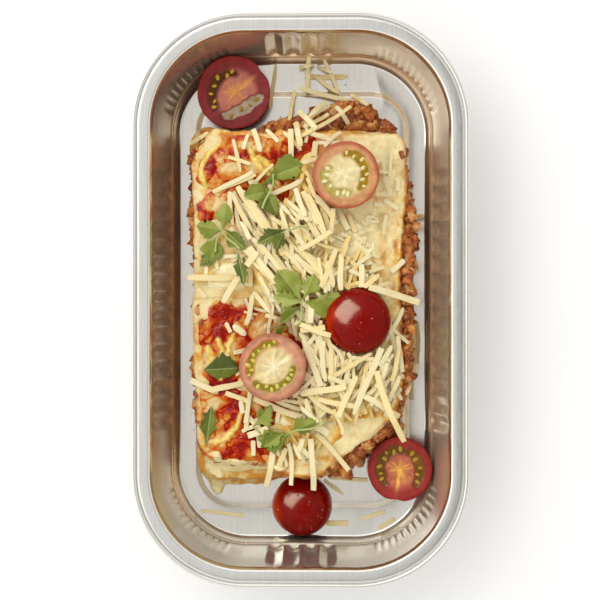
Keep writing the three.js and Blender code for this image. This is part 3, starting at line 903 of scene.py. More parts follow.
def scatter_tree():
    """Geometry Nodes that set one of several shapes on each point of a mesh, turned and sized by the
    points' own numbers, and join the copies into one mesh."""
    tree, given = open_tree("scattered pieces", {"Shapes": "Collection", "Unit": "Float"})
    turn, size = (add(tree, "GeometryNodeInputNamedAttribute", {"Name": name},
                      data_type="FLOAT_VECTOR") for name in ("turn", "size"))
    pick = add(tree, "GeometryNodeInputNamedAttribute", {"Name": "pick"})
    real_size = add(tree, "ShaderNodeVectorMath", {0: size, "Scale": (given, "Unit")},
                    operation="SCALE")
    shapes = add(tree, "GeometryNodeCollectionInfo", {
        "Collection": (given, "Shapes"), "Separate Children": True, "Reset Children": True})
    placed = add(tree, "GeometryNodeInstanceOnPoints", {
        "Points": (given, "Geometry"), "Instance": shapes, "Pick Instance": True,
        "Instance Index": pick, "Rotation": add(tree, "FunctionNodeEulerToRotation", {0: turn}),
        "Scale": real_size})
    return close_tree(tree, given, placed)


def strip_tree():
    """Geometry Nodes that make a soft-edged strip along each chain of edges of a mesh. The points'
    own numbers give its thickness there and how far it leans."""
    tree, given = open_tree("grated strips", dict.fromkeys(SHRED, "Float"))
    girth, lean = (add(tree, "GeometryNodeInputNamedAttribute", {"Name": name})
                   for name in ("girth", "lean"))
    lines = add(tree, "GeometryNodeMeshToCurve", {"Mesh": (given, "Geometry")})
    upright = add(tree, "GeometryNodeSetCurveNormal", {"Curve": lines}, mode="Z_UP")
    leaning = add(tree, "GeometryNodeSetCurveTilt", {"Curve": upright, "Tilt": lean})
    section = add(tree, "GeometryNodeCurvePrimitiveQuadrilateral", {
        "Width": (given, "Width"), "Height": (given, "Thickness")})
    eased = add(tree, "GeometryNodeFilletCurve", {
        "Curve": section, "Radius": (given, "Edge"), "Count": 1, "Limit Radius": True}, mode="POLY")
    strips = add(tree, "GeometryNodeCurveToMesh", {
        "Curve": leaning, "Profile Curve": eased, "Scale": girth, "Fill Caps": True})
    crisp = add(tree, "GeometryNodeSetShadeSmooth", {"Geometry": strips, "Shade Smooth": False})
    return close_tree(tree, given, crisp)


def lump_shapes(name, count, squash, roughness, seed, subdivisions=2, grain=0.45):
    """A collection of small rounded lumps about 1 across, for the scatter tree. It stays out of the
    scene, so that only the copies show."""
    shapes = bpy.data.collections.new(name)
    for index in range(count):
        mesh = bpy.data.meshes.new(f"{name}_{index}")
        ball = bmesh.new()
        bmesh.ops.create_icosphere(ball, subdivisions=subdivisions, radius=0.5)
        points = np.array([vertex.co for vertex in ball.verts])
        bumps = 1 + roughness * noise(points, grain, seed + index)
        for vertex, bump in zip(ball.verts, bumps):
            vertex.co = Vector(c * bump * s for c, s in zip(vertex.co, squash))
        ball.to_mesh(mesh)
        ball.free()
        mesh.polygons.foreach_set("use_smooth", [True] * len(mesh.polygons))
        shapes.objects.link(bpy.data.objects.new(f"{name}_{index}", mesh))
    return shapes


def scatter(name, rows, shapes, material, replaced=()):
    """One piece with a copy of a shape for each row: a place, turns, sizes, the pick and a shade."""
    rows = np.array(rows, float)
    points = new_piece(name, rows[:, 0:3], [], {
        "turn": rows[:, 3:6], "size": rows[:, 6:9], "pick": rows[:, 9], "shade": rows[:, 10]})
    run_tree(points, TREES["scatter"], material, {"Shapes": shapes, "Unit": MM})
    return finish_piece(points, material, replaced)


class Ground:
    """Heights over the tray, on a fine grid, which rise with each thing laid down, and the room
    that the tomatoes take."""

    def __init__(self, pieces, tomatoes, step=0.5):
        self.step = step
        self.low = -TRAY_HIGH[:2]
        self.size = np.ceil(2 * TRAY_HIGH[:2] / step).astype(int) + 1
        self.top = self.cast(pieces, downwards=True, missed=0.0)
        self.tomato_top = self.cast(tomatoes, downwards=True, missed=-99.0)
        self.tomato_foot = self.cast(tomatoes, downwards=False, missed=999.0)

    def cast(self, pieces, downwards, missed):
        """The first height that a ray meets at each place of the grid."""
        tree = ray_tree(pieces)
        start_z, way = (80.0, Vector((0, 0, -1))) if downwards else (-20.0, Vector((0, 0, 1)))
        heights = np.full(self.size, missed)
        for i, j in np.ndindex(*self.size):
            x, y = self.low + np.array([i, j]) * self.step
            hit = tree.ray_cast(Vector((x, y, start_z)), way)[0]
            if hit is not None:
                heights[i, j] = hit.z
        return heights

    def cells(self, flat):
        index = np.rint((np.asarray(flat) - self.low) / self.step).astype(int)
        index = np.clip(index, 0, self.size - 1)
        return index[..., 0], index[..., 1]

    def under(self, flat, reach=0.0):
        """The highest ground within a small reach of each place."""
        around = [(0, 0), (reach, 0), (-reach, 0), (0, reach), (0, -reach)]
        return np.max([self.top[self.cells(flat + np.array(way))] for way in around], axis=0)

    def clear(self, flat, low, high):
        """Whether a thing between two heights misses the tomatoes at each place."""
        cells = self.cells(flat)
        return (high < self.tomato_foot[cells] - 0.05) | (low > self.tomato_top[cells] + 0.05)

    def cover(self, flat, top, reach):
        """Raises the ground to a thing's top, as far as the thing reaches sideways."""
        steps = int(round(reach / self.step))
        for i, j in itertools.product(range(-steps, steps + 1), repeat=2):
            if math.hypot(i, j) * self.step <= reach:
                cells = self.cells(flat + np.array([i, j]) * self.step)
                np.maximum.at(self.top, cells, top)


STEEPEST = 0.16  # how far a laid strip or leaf tilts, as its rise over its run


def come_to_rest(along, ground, give):
    """The heights of a strip's underside once it lies still. A stiff strip touches the ground at
    one point to each side of its middle, or lies on its highest point where it would be too steep.
    `give` is how far it sags from that towards the ground."""
    middle, half = along[-1] / 2, len(along) // 2
    left, right = np.meshgrid(range(half), range(half, len(along)), indexing="ij")
    slope = (ground[right] - ground[left]) / (along[right] - along[left])
    at_middle = ground[left] + slope * (middle - along[left])
    held = np.unravel_index(np.argmax(at_middle), at_middle.shape)
    tilt = np.clip(slope[held], -STEEPEST, STEEPEST) * (along - middle)
    stiff = tilt + (ground - tilt).max()
    highest = np.array([ground[max(0, k - 2):k + 3].max() for k in range(len(ground))])
    hollow = np.convolve(np.pad(highest, 2, "edge"), np.ones(5) / 5, "valid")
    return np.maximum(stiff + give * (np.minimum(hollow, stiff) - stiff), ground - 0.15)


# ---- Grated cheese ----

SHRED = {"Width": 2.1, "Thickness": 1.0, "Edge": 0.12}
SHRED_POINTS = 11
# How far a shred sags, the share of its thickness that is sunk in, and the height it stays below.
STREWN = {"give": 0.6, "sunk": 0.4, "ceiling": 29.8}
LAID = {"give": 0.5, "sunk": 0.2, "ceiling": 34.5}
LAID_WIDTH = 0.8  # of the widths that follow
SHORTEST = 2.5
LAID_SHREDS = {
    # The two ends of each shred, and its width. Those laid first lie lowest.
    "over the mince at the back": [
        (1, 69, 11, 75, 2), (20, 78, 0, 65, 1.9), (-2, 71, 0, 61, 2.8), (-4, 68, -4, 56, 2.8),
        (-14, 68, -9, 63, 2), (-1, 76, 6, 68, 2.8), (10, 80, 3, 73, 2.4), (14, 78, 19, 71, 2.2),
    ],
    "back left": [
        (-27, 64, -24, 51, 1.8), (-29, 57, -20, 54, 1.8), (-19, 68, -16, 59, 2.6),
        (-21, 66, -23, 60, 1.8), (5, 57, 6, 63, 2.8), (0, 54, 12, 58, 2), (-11, 54, -18, 47, 1.6),
        (-11, 42, 1, 48, 2.4),
    ],
    "down from the back left to the middle": [
        (-28, 43, -27, 30, 2.4), (-27, 42, -19, 27, 2.4), (-25, 45, -14, 28, 2.8),
        (-23, 43, -12, 25, 2.6), (-20, 40, -9, 22, 2.4), (-24, 31, -20, 24, 2.4),
        (-24, 22, -18, 16, 2.6), (-20, 21, -8, 5, 2.8), (-16, 22, -4, 8, 2.4), (1, 43, 7, 30, 3),
        (-5, 39, 3, 31, 2), (6, 41, 14, 30, 2.4), (-35, 43, -18, 50, 2.4), (-33, 44, -19, 51, 2),
        (3, 42, 10, 24, 2.6), (-2, 44, 2, 33, 2.4),
    ],
    "middle right": [
        (14, 37, 19, 28, 2.8), (19, 34, 22, 27, 2.4), (13, 36, 12, 26, 2.4), (12, 27, 0, 20, 2.4),
        (16, 18, 16, 4, 2.6), (14, 20, 8, 5, 2.6), (11, 14, 13, 5, 2.4), (24, 14, 24, 5, 2.8),
        (31, 10, 25, 5, 2.6), (41, 16, 36, 11, 2.6), (30, 5, 36, 7, 2), (27, 5, 47, -1, 3.3),
        (34, 34, 33, 26, 2), (27, 11, 33, 13, 1.8),
    ],
    "left, between the two sauces": [
        (-45, 9, -25, 9, 3), (-31, -1, -17, 19, 3), (-41, 5, -38, 1, 2.4), (-16, 9, -12, 1, 2),
        (-19, 3, -12, -5, 2.4), (-22, -10, -19, 2, 2.4), (-14, -6, -7, -8, 2),
        (-30, -9, -28, -13, 2), (-27, -10, -22, -14, 3.2), (-12, 0, -5, 0, 2.4), (4, -1, 4, -9, 3),
        (0, -12, 12, -10, 2.6), (-2, -9, 12, -14, 2.6),
    ],
    "round the left tomato": [
        (-44, -32, -33, -37, 2.9), (-36, -36, -23, -33, 2.9), (-30, -21, -25, -30, 2.2),
        (-27, -21, -22, -20, 2.2), (-30, -37, -20, -41, 2.4), (-21, -47, -22, -52, 2.2),
        (-19, -39, 2, -47, 3), (-20, -36, -22, -49, 2.2), (-24, -40, -23, -45, 2.4),
    ],
    "front right": [
        (9, -16, 10, -32, 2.6), (12, -19, 12, -31, 2.4), (1, -15, 8, -34, 3), (28, -21, 13, -30, 2.2),
        (11, -30, 18, -33, 2.4), (0, -37, 18, -34, 3.2), (7, -39, 22, -42, 2.6), (22, -30, 15, -46, 2.8),
        (2, -39, 5, -49, 2.4), (39, -19, 36, -32, 2.2), (39, -30, 35, -40, 2.2), (36, -18, 31, -26, 2.4),
        (33, -16, 21, -45, 3), (25, -38, 39, -46, 2.8), (30, -28, 41, -56, 3.1), (6, -50, 11, -53, 3.4),
        (0, -42, 7, -48, 2),
    ],
    "hanging over the front": [
        (-21, -54, -13, -51, 3.2), (-19, -56, -19, -62, 2.2), (-11, -59, -14, -75, 3),
        (-5, -57, -4, -74, 2.2), (-6, -59, -9, -67, 2.6), (1, -55, -1, -62, 2),
        (4, -55, 5, -76, 2.8), (6, -53, 19, -68, 2.5), (-3, -57, 0, -63, 1.8),
    ],
}
FLOOR_SHREDS = [
    (11, -73, 27, -74, 2.1), (9, -74, 17, -80, 1.8), (24, -90, 34, -87, 2.1), (31, -94, 38, -90, 2.1),
    (10, -92, 19, -92, 2.6), (-42, -87, -24, -89, 1.8), (-11, 97, -13, 79, 2), (1, 92, 19, 92, 2.6),
    (3, 99, 2, 86, 2.2), (9, 98, 15, 85, 1.7), (4, 93, 15, 85, 2), (-1, 87, 24, 80, 2.5),
    (45, -9, 46, -29, 2.5), (47, -9, 47, -26, 2.3), (47, -26, 42, -38, 2.3), (45, -34, 45, -41, 2.1),
    (-45, 63, -37, 67, 2), (-3, 86, -5, 73, 2), (47, 13, 43, 10, 2.4), (44, 33, 49, 34, 2.4),
    (6, 96, 12, 93, 1.6), (-1, 95, 5, 96, 1.6), (20, 84, 27, 79, 1.8),
]
# Short shreds that have half melted into the bed, and the loose shreds over them: a middle, half
# sizes, a heading with its spread in degrees, the number, and the shortest and longest.
MELTED_FIELDS = [
    ((22, 25), (9, 16), 100, 60, 130, (1.2, 4)), ((4, 16), (12, 18), 115, 30, 60, (4, 10)),
    ((-12, 10), (12, 16), 120, 30, 40, (5, 10)), ((22, -30), (16, 14), 70, 40, 90, (4, 10)),
    ((6, -44), (10, 8), 100, 60, 30, (3, 7)),
]
SHRED_FIELDS = [
    ((-17, 30), (9, 13), 118, 9, 36, (9, 19)), ((-7, 16), (10, 11), 122, 16, 52, (8, 18)),
    ((1, 24), (10, 15), 115, 26, 76, (7, 17)), ((13, 12), (11, 9), 95, 45, 36, (5, 13)),
    ((24, 6), (10, 5), 70, 60, 26, (4, 10)), ((-1, 0), (13, 9), 118, 22, 52, (7, 16)),
    ((6, 44), (7, 10), 115, 30, 16, (7, 14)), ((20, -29), (15, 13), 68, 24, 80, (9, 20)),
    ((9, -24), (10, 13), 98, 26, 50, (9, 17)), ((33, -22), (7, 15), 75, 25, 22, (8, 16)),
    ((6, -41), (11, 8), 160, 35, 24, (7, 16)), ((-12, -52), (9, 6), 100, 60, 10, (5, 10)),
    ((0, -57), (10, 5), 95, 25, 12, (6, 12)), ((6, 68), (12, 8), 60, 60, 10, (6, 12)),
    ((-30, 14), (9, 6), 120, 60, 8, (6, 12)), ((33, 50), (7, 12), 110, 50, 7, (5, 11)),
]


def shred_path(start, end, rng, bend=0.02):
    """A gently bent line between two places, with evenly spaced points."""
    start, end = np.array(start, float), np.array(end, float)
    share = np.linspace(0, 1, SHRED_POINTS)[:, None]
    run = end - start
    across = np.array([-run[1], run[0]])
    bow = rng.normal(0, bend) * np.sin(math.pi * share)
    wave = rng.normal(0, bend * 0.35) * np.sin(2 * math.pi * share)
    return start + run * share + across * (bow + wave)


def free_part(path, fits):
    """The longest stretch of a path whose points all fit."""
    best, first = (0, 0), None
    for i, fit in enumerate([*fits, False]):
        if fit and first is None:
            first = i
        if not fit and first is not None:
            best = max(best, (i - first, -first))
            first = None
    return path[-best[1]:-best[1] + best[0]]


def resample(path, count):
    steps = np.linalg.norm(np.diff(path, axis=0), axis=1)
    along = np.concatenate([[0], np.cumsum(steps)])
    even = np.linspace(0, along[-1], count)
    return np.column_stack([np.interp(even, along, path[:, k]) for k in range(path.shape[1])]), even


def lay_shred(ground, path, width, give, sunk, ceiling):
    """The points of one shred's middle line where it comes to rest, or nothing where a tomato or
    the heap leaves no room for it."""
    thick = SHRED["Thickness"] * width / SHRED["Width"] * 0.92
    sink = sunk * thick
    for _ in range(3):
        path, along = resample(path, SHRED_POINTS)
        if along[-1] < SHORTEST:
            return None
        under = come_to_rest(along, ground.under(path, 0.3 * width), give)
        fits = ground.clear(path, under, under + thick)
        if fits.all():
            break
        path = free_part(path, fits)
        if len(path) < 3:
            return None
    else:
        return None
    if (under + thick).max() > ceiling:
        return None
    ground.cover(path, under + thick * 0.85 - sink, 0.42 * width)
    return np.column_stack([path, under + thick / 2 - sink])


def loose_rows(ground, fields, rng, shade, widths):
    """Shreds strewn over some fields, each as its points, its width and its shade, which is the
    given one low in the heap and paler higher up. That shade is painted shade: shreds deep in the
    heap are painted darker and more golden."""
    rows = []
    for middle, half, heading, spread, count, (shortest, longest) in fields:
        for _ in range(count):
            place = np.array(middle) + np.array(half) * rng.uniform(-1, 1, 2)
            angle = math.radians(rng.normal(heading, spread))
            reach = rng.uniform(shortest, longest) / 2 * np.array([math.cos(angle), math.sin(angle)])
            path = shred_path(place - reach, place + reach, rng, 0.04)
            width = rng.uniform(*widths)
            line = lay_shred(ground, path, width, **STREWN)
            if line is not None:
                above = float(line[:, 2].mean() - sheet_surface(line[:, :2]).mean())
                # Painted shade: deep in the heap and over the melted bed the shreds are painted darker
                # and golden.
                deep = shade * smooth(-0.1, 0.3, cheese_bed_field(place[None])[0])
                tone = np.clip(deep - 0.16 * max(above - 2.2, 0) + rng.normal(0, 0.1), 0.05, 1)
                rows.append((line, width, tone))
    return rows


def laid_rows(ground, groups, rng):
    """Shreds whose two ends are given, each as its points, its width and its shade."""
    rows = []
    for x1, y1, x2, y2, width in itertools.chain(*groups):
        width *= LAID_WIDTH
        path = shred_path((x1, y1), (x2, y2), rng)
        line = lay_shred(ground, path, width, **LAID)
        if line is not None:
            rows.append((line, width, rng.uniform(0, 0.35)))
    return rows


def make_shreds(name, rows, material, replaced=()):
    """Strips along the given lines. A strip is blunt or pointed at its ends and varies a little in
    thickness on its way."""
    rng = np.random.default_rng(12)
    share = np.linspace(0, 1, SHRED_POINTS)
    strips = []
    for line, width, tone in rows:
        cut_square = rng.uniform(size=2) < 0.75
        blunt = np.where(cut_square, rng.uniform(0.75, 1.0, 2), rng.uniform(0.3, 0.6, 2))
        taper = rng.uniform(2.0, 7.0, 2)
        ends = np.minimum(blunt[0] + share * taper[0], blunt[1] + (1 - share) * taper[1])
        waves = np.sin(share * rng.uniform(5, 12) + rng.uniform(0, 6))
        girth = np.minimum(ends, 1.0) * (1 + 0.04 * waves) * width / SHRED["Width"]
        lean = rng.normal(0, 0.12) + share * rng.normal(0, 0.15)
        strips.append(np.column_stack([line, girth, lean, np.full(SHRED_POINTS, tone)]))
    table = np.vstack(strips)
    edges = [(i, i + 1) for i in range(len(table)) if (i + 1) % SHRED_POINTS]
    piece = new_piece(name, table[:, :3], [], {
        "girth": table[:, 3], "lean": table[:, 4], "shade": table[:, 5]}, edges)
    run_tree(piece, TREES["strip"], material, in_metres(SHRED))
    return finish_piece(piece, material, replaced)


# Where the melted cheese lies, as ovals: the middle and the half sizes.
CHEESE_BED = [
    (7, 22, 24, 20), (-4, 8, 20, 14), (22, -2, 16, 14), (16, -30, 20, 18), (4, 44, 10, 16),
    (2, -50, 14, 9), (-30, 9, 12, 6),
]
CHEESE_STEP = 0.6  # between the points of its face


def cheese_bed_field(flat):
    """Above 0 where melted cheese lies under the shreds."""
    return oval_field(flat, CHEESE_BED) + 0.22 * fractal(flat, 7, 3, 90)


def make_cheese_bed(material):
    """The low, melted core of the cheese heap, which shows between the shreds."""
    low, high = box_mm("grated_cheese")
    grid, flat = grid_over(low[:2] - [12, 0], high[:2] + [3, 0], CHEESE_STEP)
    field = np.minimum(cheese_bed_field(flat), block_cover(flat))
    lumps = 0.3 * fractal(flat, 3.2, 3, 91)
    pale = np.exp(-((flat[:, 0] - 20) / 13) ** 2 - ((flat[:, 1] - 22) / 18) ** 2)
    rise = (1.9 + 0.5 * pale) * smooth(-0.1, 0.35, field)
    sheet = sheet_surface(flat)
    top = sheet - 0.5 + rise + np.where(field > -0.1, lumps, 0)
    under = np.minimum(sheet - 0.9, top - 0.1)
    golden = (0.5 + 0.5 * fractal(flat, 6, 3, 92)) * (1 - 0.9 * pale) * smooth(-30, -14, flat[:, 0])
    piece = slab_piece("cheese_melted", grid, top, under, field > -0.3, {"shade": golden})
    return finish_piece(piece, material)


# ---- Halved cherry tomatoes ----

ROUND_TOMATO = 168
TOMATO_HEIGHT = 11.3
TOMATO_LIP = 0.7
TOMATO_BELLY = 0.92  # the power that makes its round side fuller than a ball
SEED_SHAPES = 3
SPINE_POINTS = 60
# `at` is the middle of the cut face, `tilt` is in degrees, and a notch is a turn and a depth. The
# streak is the pale fibre from the heart: its turn, and how far it reaches. A locule's spine is
# given as turns in degrees and shares of the radius, with its half width as a share, its colours,
# and the number and the paleness of its seeds.
TOMATOES = {
    # The back left half's cut face colours are its own dark reds with painted shade added, as it lies in
    # the shade of the tray's back left wall.
    "tomato_back_left": {
        "at": (-27.4, 83.9, 13.7), "radius": 14.8, "tilt": (3, 3), "notch": (38, 0.05),
        "skin": "#7a120e", "rim": "#8a2a26", "wall": "#83302f", "core": "#b9705f", "heart": "#cf8f4a",
        "streak": (38, 0.9), "locules": [
            {"spine": [(84, 0.52), (120, 0.55), (160, 0.56), (200, 0.60), (222, 0.66)], "half": 0.13,
             "gel": "#4f2c12", "edge": "#6d1f1c", "seeds": 7, "paleness": 0.3},
            {"spine": [(250, 0.66), (280, 0.52), (310, 0.50), (338, 0.60), (350, 0.74)], "half": 0.15,
             "gel": "#9c8c74", "edge": "#6a0d10", "seeds": 4, "paleness": 0}]},
    "tomato_top_back": {
        "at": (17.8, 48.9, 33.7), "radius": 13.2, "tilt": (3, -4), "notch": (52, 0.012),
        "skin": "#a83018", "rim": "#a65a3a", "wall": "#c08a5c", "core": "#d9c693", "heart": "#ddd0a4",
        "streak": (135, 0.2), "locules": [
            {"spine": [(92, 0.62), (60, 0.64), (20, 0.60), (-12, 0.56), (-42, 0.60)], "half": 0.13,
             "gel": "#8a6a14", "edge": "#a88c3c", "seeds": 7, "paleness": 0.85},
            {"spine": [(156, 0.50), (185, 0.62), (225, 0.60), (262, 0.54), (284, 0.55)], "half": 0.12,
             "gel": "#a3964c", "edge": "#b09a52", "seeds": 7, "paleness": 1}]},
    "tomato_top_left": {
        "at": (-10.9, -26.4, 33.9), "radius": 13.4, "tilt": (-3, -3), "notch": (208, 0.01),
        "skin": "#a43a1e", "rim": "#a86c50", "wall": "#bf8868", "core": "#d4be88", "heart": "#e4d9b0",
        "streak": (33, 0.75), "locules": [
            {"spine": [(80, 0.72), (110, 0.66), (145, 0.63), (180, 0.65), (203, 0.70)], "half": 0.11,
             "gel": "#85741a", "edge": "#c0561f", "seeds": 9, "paleness": 0.6},
            {"spine": [(226, 0.68), (260, 0.60), (300, 0.58), (335, 0.60), (357, 0.62)], "half": 0.11,
             "gel": "#7f6f16", "edge": "#9a8a34", "seeds": 8, "paleness": 0.65}]},
    "tomato_front_right": {
        "at": (39.7, -68.3, 13.4), "radius": 13.2, "tilt": (2, -5), "notch": (263, 0.06),
        "skin": "#86120e", "rim": "#8c2420", "wall": "#98332c", "core": "#b05c48", "heart": "#e0a850",
        "streak": (262, 0.85), "locules": [
            {"spine": [(84, 0.58), (115, 0.60), (150, 0.60), (190, 0.60), (222, 0.62)], "half": 0.15,
             "gel": "#62451a", "edge": "#7b2f22", "seeds": 7, "paleness": 0.15},
            {"spine": [(64, 0.58), (35, 0.60), (5, 0.60), (-20, 0.62), (-44, 0.66)], "half": 0.14,
             "gel": "#6a4a1c", "edge": "#7b2f22", "seeds": 5, "paleness": 0.15}]},
    "tomato_top_dome": {"at": (22.6, -8.3, 24.3), "radius": 13.3, "tilt": (2, 2), "skin": "#7c0601"},
    "tomato_front_dome": {
        "at": (-0.1, -84.4, 1.9), "radius": 12.5, "tilt": (0, 0), "skin": "#800802"},
}


def tomato_place(spec):
    """Turns a tomato half about its cut face and sets it down, in millimetres."""
    turned = [math.radians(angle) for angle in spec["tilt"]]
    upside = 0 if "locules" in spec else math.pi
    return (Matrix.Translation(spec["at"]) @ Matrix.Rotation(turned[0] + upside, 4, "X")
            @ Matrix.Rotation(turned[1], 4, "Y"))


def spine_points(locule):
    """Fine points along a locule's spine, as shares of the tomato's radius."""
    turns, shares = np.array(locule["spine"], float).T
    way = np.linspace(0, len(turns) - 1, SPINE_POINTS)
    turn = np.radians(np.interp(way, range(len(turns)), turns))
    share = np.interp(way, range(len(turns)), shares)
    return np.column_stack([np.cos(turn), np.sin(turn)]) * share[:, None], way / way[-1]


def locule_field(flat, locule):
    """Below 0 inside a locule, whose ends are rounded, and above 0 outside."""
    spine, way = spine_points(locule)
    half = locule["half"] * (1 - 0.35 * np.abs(2 * way - 1) ** 3)
    away = np.linalg.norm(flat[:, None] - spine[None], axis=2) - half
    return away.min(axis=1)


def blend(first, second, share):
    """A row of colours, each the given share of the way from the first to the second."""
    share = np.asarray(share)[:, None]
    return first * (1 - share) + second * share


def flesh_tint(flat, spec, seed):
    """The colours of a cut face without its locules: the core with its pale heart, one thick fibre
    and many fine ones, then the wall and the rim."""
    colour = {key: np.array(linear(spec[key])) for key in ("rim", "wall", "core", "heart")}
    distance = np.linalg.norm(flat, axis=1)
    way = flat / np.maximum(distance, 0.01)[:, None]
    streaks = 0.5 + 0.5 * fractal(np.column_stack([way * 3.6, 2 * distance]), 0.7, 3, seed)
    turn, reach = math.radians(spec["streak"][0]), spec["streak"][1]
    along = flat @ np.array([math.cos(turn), math.sin(turn)])
    across = np.abs(flat @ np.array([-math.sin(turn), math.cos(turn)]))
    heart = np.exp(-(distance / 0.22) ** 2)
    spoke = smooth(0.09, 0.02, across) * smooth(reach, reach * 0.5, along) * smooth(-0.1, 0.1, along)
    fibres = smooth(0.58, 0.8, streaks) * smooth(0.62, 0.25, distance)
    pale = np.clip(0.75 * heart + 0.7 * spoke + 0.4 * fibres, 0, 1)
    tint = blend(colour["core"], colour["wall"], smooth(0.5, 0.74, distance))
    tint = blend(tint, colour["heart"], pale)
    tint = blend(tint, colour["rim"], smooth(0.84, 0.96, distance + 0.03 * noise(flat, 0.2, seed)))
    tint[:, :3] *= (0.88 + 0.24 * streaks)[:, None]
    return tint


def face_look(flat, spec, seed):
    """The colours, the wetness and the heights of a cut face, at shares of its radius."""
    tint = flesh_tint(flat, spec, seed)
    wet, height = np.full(len(flat), 0.3), 0.05 * fractal(flat, 0.16, 2, seed)
    drift = np.column_stack([fractal(flat, 0.24, 3, seed), fractal(flat, 0.24, 3, seed + 4)])
    for locule in spec["locules"]:
        field = locule_field(flat + 0.03 * drift, locule)
        inside, line = smooth(0.02, -0.03, field), np.exp(-((field - 0.02) / 0.022) ** 2)
        gel, edge = (np.array(linear(locule[key])) for key in ("gel", "edge"))
        cloudy = blend(gel, gel * 1.35, 0.5 + 0.5 * noise(flat, 0.12, seed + 1))
        tint = blend(blend(tint, edge, 0.75 * line), cloudy, inside)
        wet = np.maximum(wet, inside)
        height += -0.45 * inside + 0.12 * inside * noise(flat, 0.2, seed + 2)
    return tint, wet, height


def tomato_outline(spec, seed):
    """How round a tomato is: a share of the radius in each direction."""
    turns = np.linspace(0, 2 * math.pi, ROUND_TOMATO, endpoint=False)
    out = np.column_stack([np.cos(turns), np.sin(turns)])
    share = 0.995 + 0.014 * noise(out, 0.9, seed) + 0.004 * noise(out, 0.25, seed)
    if "notch" in spec:
        turn, depth = spec["notch"]
        away = (np.degrees(turns) - turn + 180) % 360 - 180
        share -= depth * np.exp(-(away / 11) ** 2)
    return out * share[:, None]


def skin_profile(angle, radius):
    """How far out and how low the skin lies, at an angle from the lowest point up to the cut."""
    return math.sin(angle) ** TOMATO_BELLY * radius, -math.cos(angle) ** TOMATO_BELLY * TOMATO_HEIGHT


def make_tomato(node, spec, material, seed):
    """A tomato half: its skin from the lowest point to the lip, then its cut face."""
    outline, radius = tomato_outline(spec, seed), spec["radius"]
    rings = []
    for angle in np.linspace(0.02, 0.955, 40) * math.pi / 2:
        out, height = skin_profile(angle, radius)
        if height < -TOMATO_LIP:
            rings.append((out, height))
    rings.extend([(radius, -TOMATO_LIP), (radius - 0.02, -0.42), (radius - 0.1, -0.2),
                  (radius - 0.24, -0.06), (radius - 0.42, 0.0)])
    skin_rings = len(rings) - 2
    rings.extend((share * radius, 0.0) for share in np.linspace(0.955, 0.015, 58))
    points, faces = loft([np.column_stack([outline * size, np.full(ROUND_TOMATO, height)])
                          for size, height in rings])
    skin = np.arange(len(points)) < skin_rings * ROUND_TOMATO
    skin[-2] = True
    tint = np.tile(linear(spec["skin"]), (len(points), 1))
    wet = np.ones(len(points))
    if "locules" in spec:
        cut = ~skin
        tint[cut], wet[cut], lift = face_look(points[cut, :2] / radius, spec, seed)
        points[cut, 2] += lift * smooth(0.96, 0.9, np.linalg.norm(points[cut, :2], axis=1) / radius)
    else:
        # Painted light: the dome's left side, towards the window, is painted a lighter orange red, as
        # light glowing through the skin.
        glow = smooth(0.55, 0.95, -points[:, 0] / radius + 0.25 * noise(points, 7, seed))
        tint = blend(tint, np.array(linear("#b83408")), 0.7 * glow * skin)
        points[skin] *= 1 + 0.0022 * noise(points[skin], 14, seed)[:, None]
    matrix = np.array(tomato_place(spec))
    points = points @ matrix[:3, :3].T + matrix[:3, 3]
    piece = new_piece(node + "_half", points, faces, {
        "tint": tint[:, :3], "wet": wet, "skin": skin.astype(float)})
    return finish_piece(piece, material, [node])


def seed_rows():
    """Seeds in two rows along each locule, with their points towards the tomato's middle."""
    rng = np.random.default_rng(21)
    rows = []
    for spec in TOMATOES.values():
        matrix = tomato_place(spec)
        tilt = matrix.to_euler()
        for locule in spec.get("locules", []):
            spine, _ = spine_points(locule)
            for k in range(locule["seeds"]):
                share = (k + 0.5) / locule["seeds"] + rng.normal(0, 0.015)
                row = 1 + 0.07 * (-1) ** k + rng.normal(0, 0.03)
                at = spine[int(np.clip(share, 0, 1) * (SPINE_POINTS - 1))] * row
                heading = math.atan2(at[1], at[0]) + rng.normal(0, 0.35)
                place = matrix @ Vector((*(at * spec["radius"]), -0.3 - rng.uniform(0, 0.25)))
                size = rng.uniform(0.75, 1.15)
                rows.append([*place, tilt.x, tilt.y, heading, 2.5 * size, 1.6 * size, 1.0 * size,
                             k % SEED_SHAPES, locule["paleness"]])
    return rows


DROPLETS = 34  # on each of the two domes


def droplet_rows():
    """Tiny drops of oil on the two tomatoes that lie dome up, sunk in by a third of their radius."""
    rng = np.random.default_rng(61)
    rows = []
    domes = [spec for spec in TOMATOES.values() if "locules" not in spec]
    for spec in domes:
        matrix = tomato_place(spec)
        for _ in range(DROPLETS):
            turn, lean = rng.uniform(0, 2 * math.pi), math.pi / 2 * rng.uniform(0.05, 0.85)
            size = 0.28 + 0.5 * rng.uniform() ** 2
            out, height = skin_profile(lean, spec["radius"])
            skin = Vector((out * math.cos(turn), out * math.sin(turn), height))
            place = matrix @ (skin * (1 - 0.17 * size / skin.length))
            rows.append([*place, 0, 0, 0, size, size, size, 0, 0])
    return rows


# ---- Parsley ----

